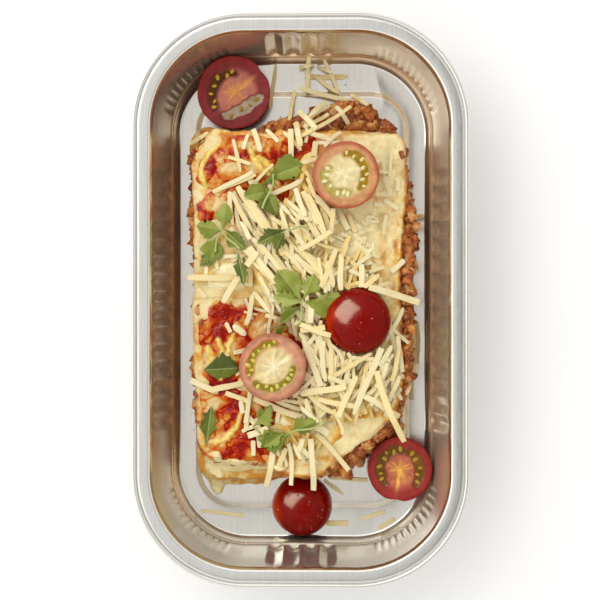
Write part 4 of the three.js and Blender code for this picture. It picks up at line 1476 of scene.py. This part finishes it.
# Each leaf: where its stalk ends, its heading in degrees, its length, its kind and how light it is.
LEAVES = [
    ((-13, 48.8), 18, 15, "broad", 0.50), ((-8.8, 51.2), 222, 8.5, "narrow", 0.40),
    ((-11, 43.8), 196, 11.5, "broad", 0.55), ((-14, 45), -68, 12.5, "fan", 0.35),
    ((-31, 28), 84, 10.5, "fan", 0.70), ((-30.5, 27.5), 168, 11.5, "fan", 0.65),
    ((-31, 28.5), -42, 12.5, "fan", 0.30), ((-31.5, 27), -112, 15, "fan", 0.55),
    ((-36.5, 20), -118, 8, "narrow", 0.25), ((-4.5, 27.8), 204, 14, "narrow", 0.20),
    ((-6, 27.5), 244, 9, "fan", 0.15), ((-25, 19.5), -78, 14.5, "narrow", 0.20),
    ((0.6, -0.4), 128, 15.5, "broad", 0.60), ((0.8, 0), 66, 11.5, "fan", 0.75),
    ((1, -0.4), 8, 15.5, "fan", 0.70), ((0.5, -0.8), 168, 11.5, "fan", 0.80),
    ((0.8, -2), 222, 12, "narrow", 0.55), ((-5, -9.5), 235, 7, "narrow", 0.30),
    ((-39, -28), 4, 14.5, "broad", 0.12), ((-38, -59), 82, 17, "narrow", 0.20),
    ((-19, -50), 48, 11, "fan", 0.62), ((-5, -52.8), 26, 12.5, "fan", 0.45),
    ((-3.5, -53), 190, 14, "broad", 0.50), ((-6.5, -52.5), 216, 10, "fan", 0.55),
]
# One side of a leaf's toothed edge, from its stalk to its tip, as shares of its length.
LEAF_EDGES = {
    "broad": [(0, 0), (0.12, 0.05), (0.28, 0.22), (0.40, 0.33), (0.47, 0.28), (0.60, 0.38), (0.64, 0.30),
              (0.77, 0.32), (0.80, 0.23), (0.90, 0.19), (0.92, 0.10), (1, 0)],
    "fan": [(0, 0), (0.15, 0.03), (0.30, 0.12), (0.38, 0.24), (0.50, 0.34), (0.53, 0.28), (0.66, 0.35),
            (0.66, 0.22), (0.71, 0.17), (0.80, 0.24), (0.83, 0.15), (0.92, 0.12), (0.93, 0.06), (1, 0)],
    "narrow": [(0, 0), (0.2, 0.03), (0.33, 0.10), (0.44, 0.20), (0.50, 0.25), (0.55, 0.16), (0.66, 0.20),
               (0.71, 0.13), (0.82, 0.13), (0.86, 0.07), (1, 0)],
}
# Stalks, as the two ends of each.
STALKS = [
    ((-31, 28), (-24, 20)), ((-5, 27.5), (3, 28.5)), ((0.8, -0.5), (-1.5, -10)),
    ((-5, -52.5), (10, -47.5)), ((-11, 50), (-15, 36)), ((-30.5, 28), (-34, 19)),
    ((-19, -50), (-16, -53)),
]
LEAF_PLACES = 132  # round a leaf's edge
LEAF_RINGS = 10
LEAF = 0.22


def leaf_form(kind, rng):
    """The places along a leaf's edge, as shares of its length from the middle of the leaf."""
    sides = []
    for side in (1, -1):
        edge = np.array(LEAF_EDGES[kind], float)
        edge[1:-1] += rng.normal(0, 0.025, edge[1:-1].shape)
        sides.append(edge * [1, side * rng.uniform(0.75, 1.1)])
    edge = np.vstack([sides[0][::-1], sides[1][1:]])
    edge[:, 1] += rng.normal(0, 0.09) * np.sin(math.pi * edge[:, 0])
    ring, _ = resample(edge, LEAF_PLACES + 1)
    return ring[:-1] - [0.5, 0]


def bend_over(placed, height, ground):
    """A leaf's heights once it is lifted off what it would cut into, as gently as a leaf bends."""
    need = np.maximum(ground.under(placed, 0.4) + 0.25 - height, 0)
    apart = np.linalg.norm(placed[:, None] - placed[None], axis=2)
    return height + (need[None] - 0.3 * apart).max(axis=1)


def leaf_mesh(leaf, ground, rng):
    """One leaf as a thin closed shell that rests on what is under it, and its points' tones and
    veins. It is folded at its middle vein, and one side of the fold is painted lighter: painted light."""
    (x, y), heading, length, kind, tone = leaf
    edge = leaf_form(kind, rng)
    shares = np.linspace(0.1, 1, LEAF_RINGS)
    angle = math.radians(heading)
    turn = np.array([[math.cos(angle), math.sin(angle)], [-math.sin(angle), math.cos(angle)]])
    flat = np.vstack([edge * share for share in shares])
    placed = (flat + [0.5, 0]) * length @ turn + np.array([x, y])
    beside = np.where(np.abs(flat[:, 1]) < 0.012, 0, flat[:, 1])
    fold, curl = rng.uniform(0.1, 0.35), rng.uniform(-0.3, 0.3)
    bent = length * (fold * np.abs(beside) + curl * flat[:, 0] ** 2)
    bent += 0.2 * noise(flat * length, 3.0, int(abs(x) * 7))
    under = bend_over(placed, settle_plane(placed, ground) + bent - bent.mean(), ground)
    thick = LEAF * np.repeat(0.3 + 0.7 * smooth(1.0, 0.9, shares), LEAF_PLACES)
    lower = np.column_stack([placed, under]).reshape(LEAF_RINGS, LEAF_PLACES, 3)
    upper = np.column_stack([placed, under + thick]).reshape(LEAF_RINGS, LEAF_PLACES, 3)
    points, faces = loft([*lower, *upper[::-1]])
    # Painted light: one side of the middle fold is painted lighter, the other darker.
    painted_fold_light = rng.choice([-1, 1]) * np.sign(beside) * smooth(0, 0.02, np.abs(beside))
    look = np.column_stack([np.clip(tone + 0.12 * painted_fold_light, 0, 1), smooth(0.02, 0.0, np.abs(beside))])
    look = look.reshape(LEAF_RINGS, LEAF_PLACES, 2)
    looks = np.vstack([*look, *look[::-1], look[0, :1], look[0, :1]])
    return points, faces, looks


def settle_plane(placed, ground):
    """A tilted plane that rests on the highest ground under a thing."""
    support = ground.under(placed, 0.3)
    middle = placed.mean(axis=0)
    table = np.column_stack([placed - middle, np.ones(len(placed))])
    slope = np.linalg.lstsq(table, support, rcond=None)[0]
    slope[:2] = np.clip(slope[:2], -STEEPEST, STEEPEST)
    plane = table @ slope
    return plane + np.percentile(support - plane, 88)


def make_leaves(ground, material, rng):
    parts, looks = [], []
    for leaf in LEAVES:
        points, faces, look = leaf_mesh(leaf, ground, rng)
        parts.append((points, faces))
        looks.append(look)
        ground.cover(points[:, :2], points[:, 2], 0.3)
    points, faces = join(parts)
    tones, veins = np.vstack(looks).T
    piece = new_piece("parsley_leaves", points, faces, {"tone": tones, "vein": 0.45 * veins})
    return finish_piece(piece, material)


def make_stalks(ground, material, rng):
    parts = []
    for start, end in STALKS:
        path, along = resample(shred_path(start, end, rng, 0.08), SHRED_POINTS)
        height = come_to_rest(along, ground.under(path, 0.4), 0.6) + 0.45
        parts.append(tube(np.column_stack([path, height]), np.linspace(0.32, 0.5, SHRED_POINTS), 10))
    points, faces = join(parts)
    piece = new_piece("parsley_stalks", points, faces, {
        "tone": np.full(len(points), 0.9), "vein": np.full(len(points), 0.6)})
    return finish_piece(piece, material)


def tube(path, radii, count):
    """Points and faces of a closed tube along a path of points."""
    ahead = np.gradient(path, axis=0)
    ahead /= np.linalg.norm(ahead, axis=1)[:, None]
    side = np.cross(ahead, UP)
    side /= np.maximum(np.linalg.norm(side, axis=1), 1e-6)[:, None]
    over = np.cross(side, ahead)
    turns = np.linspace(0, 2 * math.pi, count, endpoint=False)
    rings = []
    for k, radius in enumerate(radii):
        ring = (np.cos(turns)[:, None] * side[k] - np.sin(turns)[:, None] * over[k]) * radius
        rings.append(path[k] + ring)
    return loft(rings)


# ---- The mince's crumbs, the melted drip and the specks ----

LUMP_SHAPES = 5
# Crumbs on each layer's side, and tries at a crumb where the layer sticks out.
SIDE_CRUMBS = {"mince_lower": 420, "mince_upper": 560}
OPEN_CRUMBS = {"mince_upper": 3600, "mince_lower": 4560}


def lump_row(place, size, rng, squash=1.0):
    """One lump: its place, at rest on the tray or above it, its turns, its sizes, its shape and its
    shade."""
    turns = rng.uniform(0, 2 * math.pi, 3)
    sizes = size * rng.uniform(0.75, 1.25, 3) * [1, 1, squash]
    height = max(place[2], FOIL + 0.85 * squash * size)
    shape, shade = rng.integers(0, LUMP_SHAPES), rng.uniform(0, 1)
    return [place[0], place[1], height, *turns, *sizes, shape, shade]


def mince_rows(ground):
    """Crumbs of mince on the sides of the two layers, and where they stick out of the sheets."""
    rng = np.random.default_rng(41)
    rows = []
    for node, count in SIDE_CRUMBS.items():
        low, high = box_mm(node)
        reach = outline_of(node) - 2.4 + 2.0 * mince_out(node) - 3.0 * around(256, 24, 5)
        for _ in range(count):
            turn = rng.integers(0, ROUND_BLOCK)
            place = BLOCK_MIDDLE + OUTWARDS[turn] * (reach[turn] - rng.uniform(0.2, 1.8))
            height = rng.uniform(low[2] + 1.2, high[2] - 1.2)
            if white_sauce_field(place[None])[0] < -0.1:
                rows.append(lump_row((*place, height), 1.6 + 5.0 * rng.uniform() ** 2, rng))
    covers = {"mince_upper": TOP_REACH, "mince_lower": outline_of("mince_upper")}
    for node, count in OPEN_CRUMBS.items():
        reach, over = outline_of(node), covers[node]
        low, high = box_mm(node)
        for _ in range(count):
            place = rng.uniform(low[:2], high[:2])
            out = place - BLOCK_MIDDLE
            distance = np.linalg.norm(out)
            turn = int(round(math.atan2(out[1], out[0]) % (2 * math.pi) / (2 * math.pi) * ROUND_BLOCK))
            turn %= ROUND_BLOCK
            fits = over[turn] + 0.2 < distance < reach[turn] - 0.8
            if fits and (place[0] > 3 or place[1] > -50):
                size = 1.8 + 5.0 * rng.uniform() ** 2
                height = min(float(ground.under(place)), high[2] + 1) - 0.05 * size
                rows.append(lump_row((*place, height), size, rng))
    return rows


def grain_rows(crumbs):
    """Small grains of mince that stick to the crumbs, two to each."""
    rng = np.random.default_rng(43)
    rows = []
    for crumb in crumbs:
        for _ in range(2):
            way = rng.normal(size=3)
            way[2] = abs(way[2])
            place = np.array(crumb[:3]) + 0.34 * np.array(crumb[6:9]).mean() * way / np.linalg.norm(way)
            rows.append(lump_row(place, rng.uniform(0.7, 1.7), rng, 0.8))
    return rows


def speck_rows(ground):
    """Pepper and crumbs on the tray's floor, most of them to the left of the food."""
    rng = np.random.default_rng(51)
    fields = [((-44.5, 5), (1.8, 62), 210), ((-20, -82), (20, 6), 26), ((20, 88), (16, 7), 14),
              ((44, -50), (4, 22), 14), ((14, -76), (5, 4), 14)]
    rows = []
    for middle, half, count in fields:
        for _ in range(count):
            place = np.array(middle) + np.array(half) * np.clip(rng.normal(0, 0.55, 2), -1.4, 1.4)
            size = rng.uniform(0.25, 0.62)
            rows.append(lump_row((*place, float(ground.under(place)) + 0.05), size, rng, 0.5))
    return rows


# White sauce at the front left, as ovals: it lies on the low layers and has run onto the tray.
WHITE_SAUCE = [(-34.9, -65.4, 5, 5), (-34.5, -70.5, 3.4, 5), (-35.2, -76.4, 3.6, 4.2),
               (-27, -66.4, 10, 3.8), (-13, -67.6, 9, 2.0)]
WHITE_SAUCE_STEP = 0.35  # between the points of its face


def white_sauce_field(flat):
    """Above 0 where white sauce lies."""
    return oval_field(flat, WHITE_SAUCE) + 0.16 * fractal(flat, 4, 3, seed=61)


def make_white_sauce(ground, material):
    """White sauce that flows from under the top sheet, down the front left corner."""
    grid, flat = grid_over((-44, -86), (-1, -57), WHITE_SAUCE_STEP)
    field = white_sauce_field(flat)
    offsets = [np.array(way) * 1.0 for way in itertools.product((-1, 0, 1), repeat=2)]
    draped = np.mean([ground.top[ground.cells(flat + way)] for way in offsets], axis=0)
    thick = -0.6 + 2.2 * smooth(-0.05, 0.4, field) + 0.2 * noise(flat, 2.5, seed=62)
    top = draped + thick
    under = np.maximum(top - 2.5, FOIL + 0.2)
    x, y = flat[:, 0] + noise(flat, 5, seed=63), flat[:, 1] + 0.6 * noise(flat, 4, seed=64)
    browned = np.exp(-((y + 70.5 - 0.1 * (x + 24)) / 0.8) ** 2) * smooth(-33, -29, x)
    stained = np.exp(-((y + 62.6 + 0.06 * (x + 33)) / 0.9) ** 2)
    piece = slab_piece("white_sauce_front", grid, top, under, field > -0.2, {
        "browned": 0.9 * browned, "stained": stained, "milky": 1 - 0.6 * browned})
    return finish_piece(piece, material)


# ---- Materials of the food ----

def baked_pasta_material():
    """Fresh pasta under white sauce, baked: matt to satin cream that lets some light in, golden
    where it browned and orange where tomato sauce soaked in."""
    material, tree, milky, browned, stained = new_material(
        "baked pasta with white sauce", "milky", "browned", "stained")
    patches, specks, bubbles = grain_of(tree, 11), grain_of(tree, 2.6, 4), grain_of(tree, 1.3, 2)
    plain = add(tree, "ShaderNodeValToRGB", {"Fac": patches}, stops=[
        (0.32, "#dfc482"), (0.5, "#e6d198"), (0.68, "#ebdcae")])
    cream = add(tree, "ShaderNodeMix", {0: milky, 6: plain, 7: linear("#efe1ab")}, data_type="RGBA")
    roasted = add(tree, "ShaderNodeMath", [browned, specks], operation="ADD")
    shown = add(tree, "ShaderNodeMath", [roasted, -0.42], operation="ADD", use_clamp=True)
    brown = add(tree, "ShaderNodeValToRGB", {"Fac": shown}, stops=[
        (0.0, "#e8c97e"), (0.3, "#d8a03c"), (0.6, "#bf7622"), (0.95, "#8a4a18")])
    bare = add(tree, "ShaderNodeMath", [milky, -0.7, 1.0], operation="MULTIPLY_ADD")
    heat = add(tree, "ShaderNodeMapRange", {"Value": shown, "From Min": 0.02, "From Max": 0.30})
    amount = add(tree, "ShaderNodeMath", [heat, bare], operation="MULTIPLY")
    baked = add(tree, "ShaderNodeMix", {0: amount, 6: cream, 7: brown}, data_type="RGBA")
    soaked = add(tree, "ShaderNodeMath", [stained, specks], operation="MULTIPLY")
    stain = add(tree, "ShaderNodeMapRange", {
        "Value": soaked, "From Min": 0.25, "From Max": 0.62, "To Max": 0.85})
    coloured = add(tree, "ShaderNodeMix", {0: stain, 6: baked, 7: linear("#d9812f")}, data_type="RGBA")
    gloss = add(tree, "ShaderNodeMapRange", {
        "Value": specks, "From Min": 0.35, "From Max": 0.7, "To Min": 0.52, "To Max": 0.3})
    return surfaced(material, {
        "Base Color": coloured, "Roughness": gloss, "IOR": 1.42},
        relief=[(specks, 0.22), (bubbles, 0.09)], glow=(0.25, (1.0, 0.65, 0.3), 1.6))


def mince_material():
    """Minced beef in tomato sauce: brown grains, wet and orange with fat where the light falls."""
    material, tree, shade = new_material("minced beef in tomato sauce", "shade")
    clots, grains = grain_of(tree, 4.5), grain_of(tree, 1.3, 4)
    lump = add(tree, "ShaderNodeMath", [shade, 0.6, -0.28], operation="MULTIPLY_ADD")
    varied = add(tree, "ShaderNodeMath", [clots, lump], operation="ADD")
    meat = add(tree, "ShaderNodeValToRGB", {"Fac": varied}, stops=[
        (0.28, "#74280a"), (0.45, "#b85a20"), (0.60, "#d68638"), (0.78, "#ecc27c")])
    fibres = add(tree, "ShaderNodeValToRGB", {"Fac": grains}, stops=[
        (0.3, "#6e301c"), (0.5, "#b66e3e"), (0.72, "#e4b27a")])
    mixed = add(tree, "ShaderNodeMix", {0: 0.45, 6: meat, 7: fibres}, data_type="RGBA")
    gloss = add(tree, "ShaderNodeMapRange", {
        "Value": grains, "From Min": 0.35, "From Max": 0.7, "To Min": 0.24, "To Max": 0.5})
    return surfaced(material, {
        "Base Color": mixed, "Roughness": gloss, "IOR": 1.45, "Specular IOR Level": 0.3},
        relief=[(clots, 0.5), (grains, 0.3)], glow=(0.1, (1.0, 0.35, 0.15), 1.2))


def sauce_material():
    """Baked tomato sauce with white sauce and cheese in it: orange red to deep red, glossy with
    oil, with cream clouds and yellow strands."""
    material, tree, tone, strand = new_material("baked tomato sauce", "tone", "strand")
    pulp, clouds = grain_of(tree, 1.5, 4), grain_of(tree, 4.2, 4, 0.65)
    swirled = shifted(tree, shifted(tree, tone, clouds, 1.7), pulp, 0.5)
    place = add(tree, "ShaderNodeMapRange", {"Value": swirled, "From Min": -0.85, "From Max": 0.95})
    colour = add(tree, "ShaderNodeValToRGB", {"Fac": place}, stops=[
        (0.10, "#8c0c00"), (0.24, "#a82402"), (0.37, "#ba480c"), (0.55, "#ca7626"),
        (0.72, "#d29e52"), (0.90, "#dabe86")])
    yellow = add(tree, "ShaderNodeValToRGB", {"Fac": pulp}, stops=[(0.35, "#d9b23c"), (0.65, "#f0dc86")])
    strung = add(tree, "ShaderNodeMix", {0: strand, 6: colour, 7: yellow}, data_type="RGBA")
    gloss = add(tree, "ShaderNodeMapRange", {
        "Value": pulp, "From Min": 0.35, "From Max": 0.7, "To Min": 0.16, "To Max": 0.38})
    return surfaced(material, {
        "Base Color": strung, "Roughness": gloss, "IOR": 1.38, "Specular IOR Level": 0.14},
        relief=[(clouds, 0.5), (pulp, 0.35)], glow=(0.15, (1.0, 0.3, 0.12), 1.5))


def grated_cheese_material():
    """Grated mild cheese: smooth, pale and waxy, with light glowing through its thin edges."""
    material, tree, shade = new_material("grated mild cheese", "shade")
    veil, fine = grain_of(tree, 6.0), grain_of(tree, 0.9, 2)
    # The shade that the shreds carry is painted shade, from their depth in the heap.
    tone = shifted(tree, shade, veil, 0.5, use_clamp=True)
    colour = add(tree, "ShaderNodeValToRGB", {"Fac": tone}, stops=[
        (0.0, "#e9ddb2"), (0.35, "#ead598"), (0.7, "#e9c870"), (1.0, "#e4b652")])
    return surfaced(material, {
        "Base Color": colour, "Roughness": 0.42, "IOR": 1.42},
        relief=[(fine, 0.08)], glow=(0.2, (1.0, 0.8, 0.4), 0.5))


def melted_cheese_material():
    """Cheese that melted in the oven: golden, smooth and oily."""
    material, tree, shade = new_material("melted cheese", "shade")
    clouds, fine = grain_of(tree, 3.5, 4), grain_of(tree, 1.1, 3)
    tone = shifted(tree, shade, clouds, 1.2, use_clamp=True)
    colour = add(tree, "ShaderNodeValToRGB", {"Fac": tone}, stops=[
        (0.1, "#f9edbc"), (0.45, "#f1d47e"), (0.7, "#e8ae42"), (0.95, "#cc8420")])
    return surfaced(material, {
        "Base Color": colour, "Roughness": 0.3, "IOR": 1.45},
        relief=[(clouds, 0.35), (fine, 0.12)], glow=(0.25, (1.0, 0.7, 0.3), 1.5))


def tomato_material():
    """Ripe cherry tomato: a taut, glossy skin, a damp cut wall with fine fibres, and wet gel."""
    material, tree, wet, skin = new_material("ripe cherry tomato", "wet", "skin")
    tint = add(tree, "ShaderNodeAttribute", attribute_name="tint")
    mottle, fibres = grain_of(tree, 2.2, 3), grain_of(tree, 0.55, 3, 0.7)
    level = add(tree, "ShaderNodeMapRange", {
        "Value": mottle, "From Min": 0.3, "From Max": 0.7, "To Min": 0.86, "To Max": 1.14})
    varied = add(tree, "ShaderNodeVectorMath", {0: (tint, "Vector"), "Scale": level}, operation="SCALE")
    gloss = add(tree, "ShaderNodeMapRange", {
        "Value": wet, "From Min": 0.3, "To Min": 0.42, "To Max": 0.17})
    relief = add(tree, "ShaderNodeMath", [fibres, skin], operation="SUBTRACT", use_clamp=True)
    return surfaced(material, {
        "Base Color": varied, "Roughness": gloss, "IOR": 1.4, "Specular IOR Level": 0.15},
        relief=[(relief, 0.10)], glow=(0.12, (1.0, 0.25, 0.1), 2.0))


def seed_material():
    """Tomato seeds in their wet coats: small, pale to golden, and glossy."""
    material, tree, shade = new_material("tomato seed", "shade")
    colour = add(tree, "ShaderNodeValToRGB", {"Fac": shade}, stops=[
        (0.0, "#9a7526"), (0.3, "#c09a2c"), (0.6, "#c8b850"), (1.0, "#dcd3a0")])
    return surfaced(material, {
        "Base Color": colour, "Roughness": 0.2, "IOR": 1.4}, glow=(0.2, (1.0, 0.7, 0.3), 0.8))


def droplet_material():
    """Drops of oil, which show the red skin under them and mirror the window."""
    material, tree = new_material("drop of oil")
    colour = add(tree, "ShaderNodeValToRGB", {"Fac": grain_of(tree, 2.0)}, stops=[
        (0.35, "#8c1408"), (0.65, "#a82a18")])
    return surfaced(material, {"Base Color": colour, "Roughness": 0.08, "IOR": 1.47})


def parsley_material():
    """Flat-leaf parsley: matt green, lighter on the veins, with some light coming through."""
    material, tree, tone, vein = new_material("parsley leaf", "tone", "vein")
    patches, fine = grain_of(tree, 5.0, 3), grain_of(tree, 0.8, 3)
    # The leaves' tone holds painted light on one side of each fold.
    mottled = shifted(tree, tone, patches, 0.7, use_clamp=True)
    green = add(tree, "ShaderNodeValToRGB", {"Fac": mottled}, stops=[
        (0.0, "#4a5404"), (0.35, "#6a7414"), (0.65, "#899232"), (1.0, "#abb05c")])
    veined = add(tree, "ShaderNodeMix", {0: vein, 6: green, 7: linear("#b3bd7e")}, data_type="RGBA")
    return surfaced(material, {
        "Base Color": veined, "Roughness": 0.46, "IOR": 1.42},
        relief=[(fine, 0.08)], glow=(0.2, (0.5, 1.0, 0.2), 0.6))


def pepper_material():
    """Ground pepper and burnt crumbs: dark and matt."""
    material, tree, shade = new_material("ground pepper", "shade")
    colour = add(tree, "ShaderNodeValToRGB", {"Fac": shade}, stops=[
        (0.0, "#3c3630"), (0.6, "#6f6455"), (1.0, "#a58a60")])
    return surfaced(material, {"Base Color": colour, "Roughness": 0.7})


# ---- Making it all ----

TREES = {"ribs": rib_tree(), "scatter": scatter_tree(), "strip": strip_tree()}
TOP_REACH = outline_of("pasta_sheet_top")
UPPER_MINCE_TOP = box_mm("mince_upper")[0][2] + 6.1
LOWER_MINCE_TOP = box_mm("mince_lower")[1][2]
PASTA = baked_pasta_material()
MINCE = mince_material()
SAUCE = sauce_material()
CHEESE = grated_cheese_material()
TOMATO = tomato_material()
PARSLEY = parsley_material()

make_camera()
make_floor()
wet_shine, skin_shine = make_light()
tray = make_tray(foil_material())
layers = [
    make_sheet("pasta_sheet_bottom_baked", "pasta_sheet_bottom", PASTA, seed=71),
    make_mince("mince_lower_core", "mince_lower", MINCE,
               lambda flat: np.full(len(flat), LOWER_MINCE_TOP - 0.2), seed=72),
    make_sheet("pasta_sheet_middle_baked", "pasta_sheet_middle", PASTA, seed=73, corner=3.0),
    make_mince("mince_upper_core", "mince_upper", MINCE,
               lambda flat: UPPER_MINCE_TOP + sheet_wave(flat) - 0.7, seed=74),
    make_top_sheet(PASTA),
    make_cheese_bed(melted_cheese_material()),
]
sauces = [make_sauce(node, SAUCE) for node in SAUCES]
tomatoes = [make_tomato(node, spec, TOMATO, seed)
            for seed, (node, spec) in enumerate(TOMATOES.items(), 80)]

ground = Ground([tray, *layers, *sauces], tomatoes)
make_white_sauce(ground, PASTA)
lumps = lump_shapes("mince_lump", LUMP_SHAPES, (1.2, 0.7, 0.6), 0.55, seed=5, grain=0.3)
grains = lump_shapes("grain", LUMP_SHAPES, (1, 0.8, 0.6), 0.3, seed=6, subdivisions=1)
seeds = lump_shapes("seed_shape", SEED_SHAPES, (1, 1, 1), 0.08, seed=7)
crumbs = mince_rows(ground)
scatter("mince_crumbs", crumbs, lumps, MINCE)
scatter("mince_grains", grain_rows(crumbs), grains, MINCE)
scatter("pepper_specks", speck_rows(ground), grains, pepper_material())
scatter("tomato_seeds", seed_rows(), seeds, seed_material())
droplets = scatter("oil_droplets", droplet_rows(), seeds, droplet_material())
link_light(wet_shine, [*tomatoes, *sauces, droplets])
link_light(skin_shine, [droplets, *(piece for piece in tomatoes if "dome" in piece.name)])
rng = np.random.default_rng(11)
melted = loose_rows(ground, MELTED_FIELDS, rng, 0.15, (0.9, 1.8))
make_shreds("grated_cheese_melted", melted, CHEESE)
strewn = loose_rows(ground, SHRED_FIELDS, rng, 0.8, (1.2, 2.0))
laid = laid_rows(ground, [*LAID_SHREDS.values(), FLOOR_SHREDS], rng)
make_shreds("grated_cheese_shreds", strewn + laid, CHEESE, ["grated_cheese"])
leaf_rng = np.random.default_rng(31)
make_leaves(ground, PARSLEY, leaf_rng)
make_stalks(ground, PARSLEY, leaf_rng)
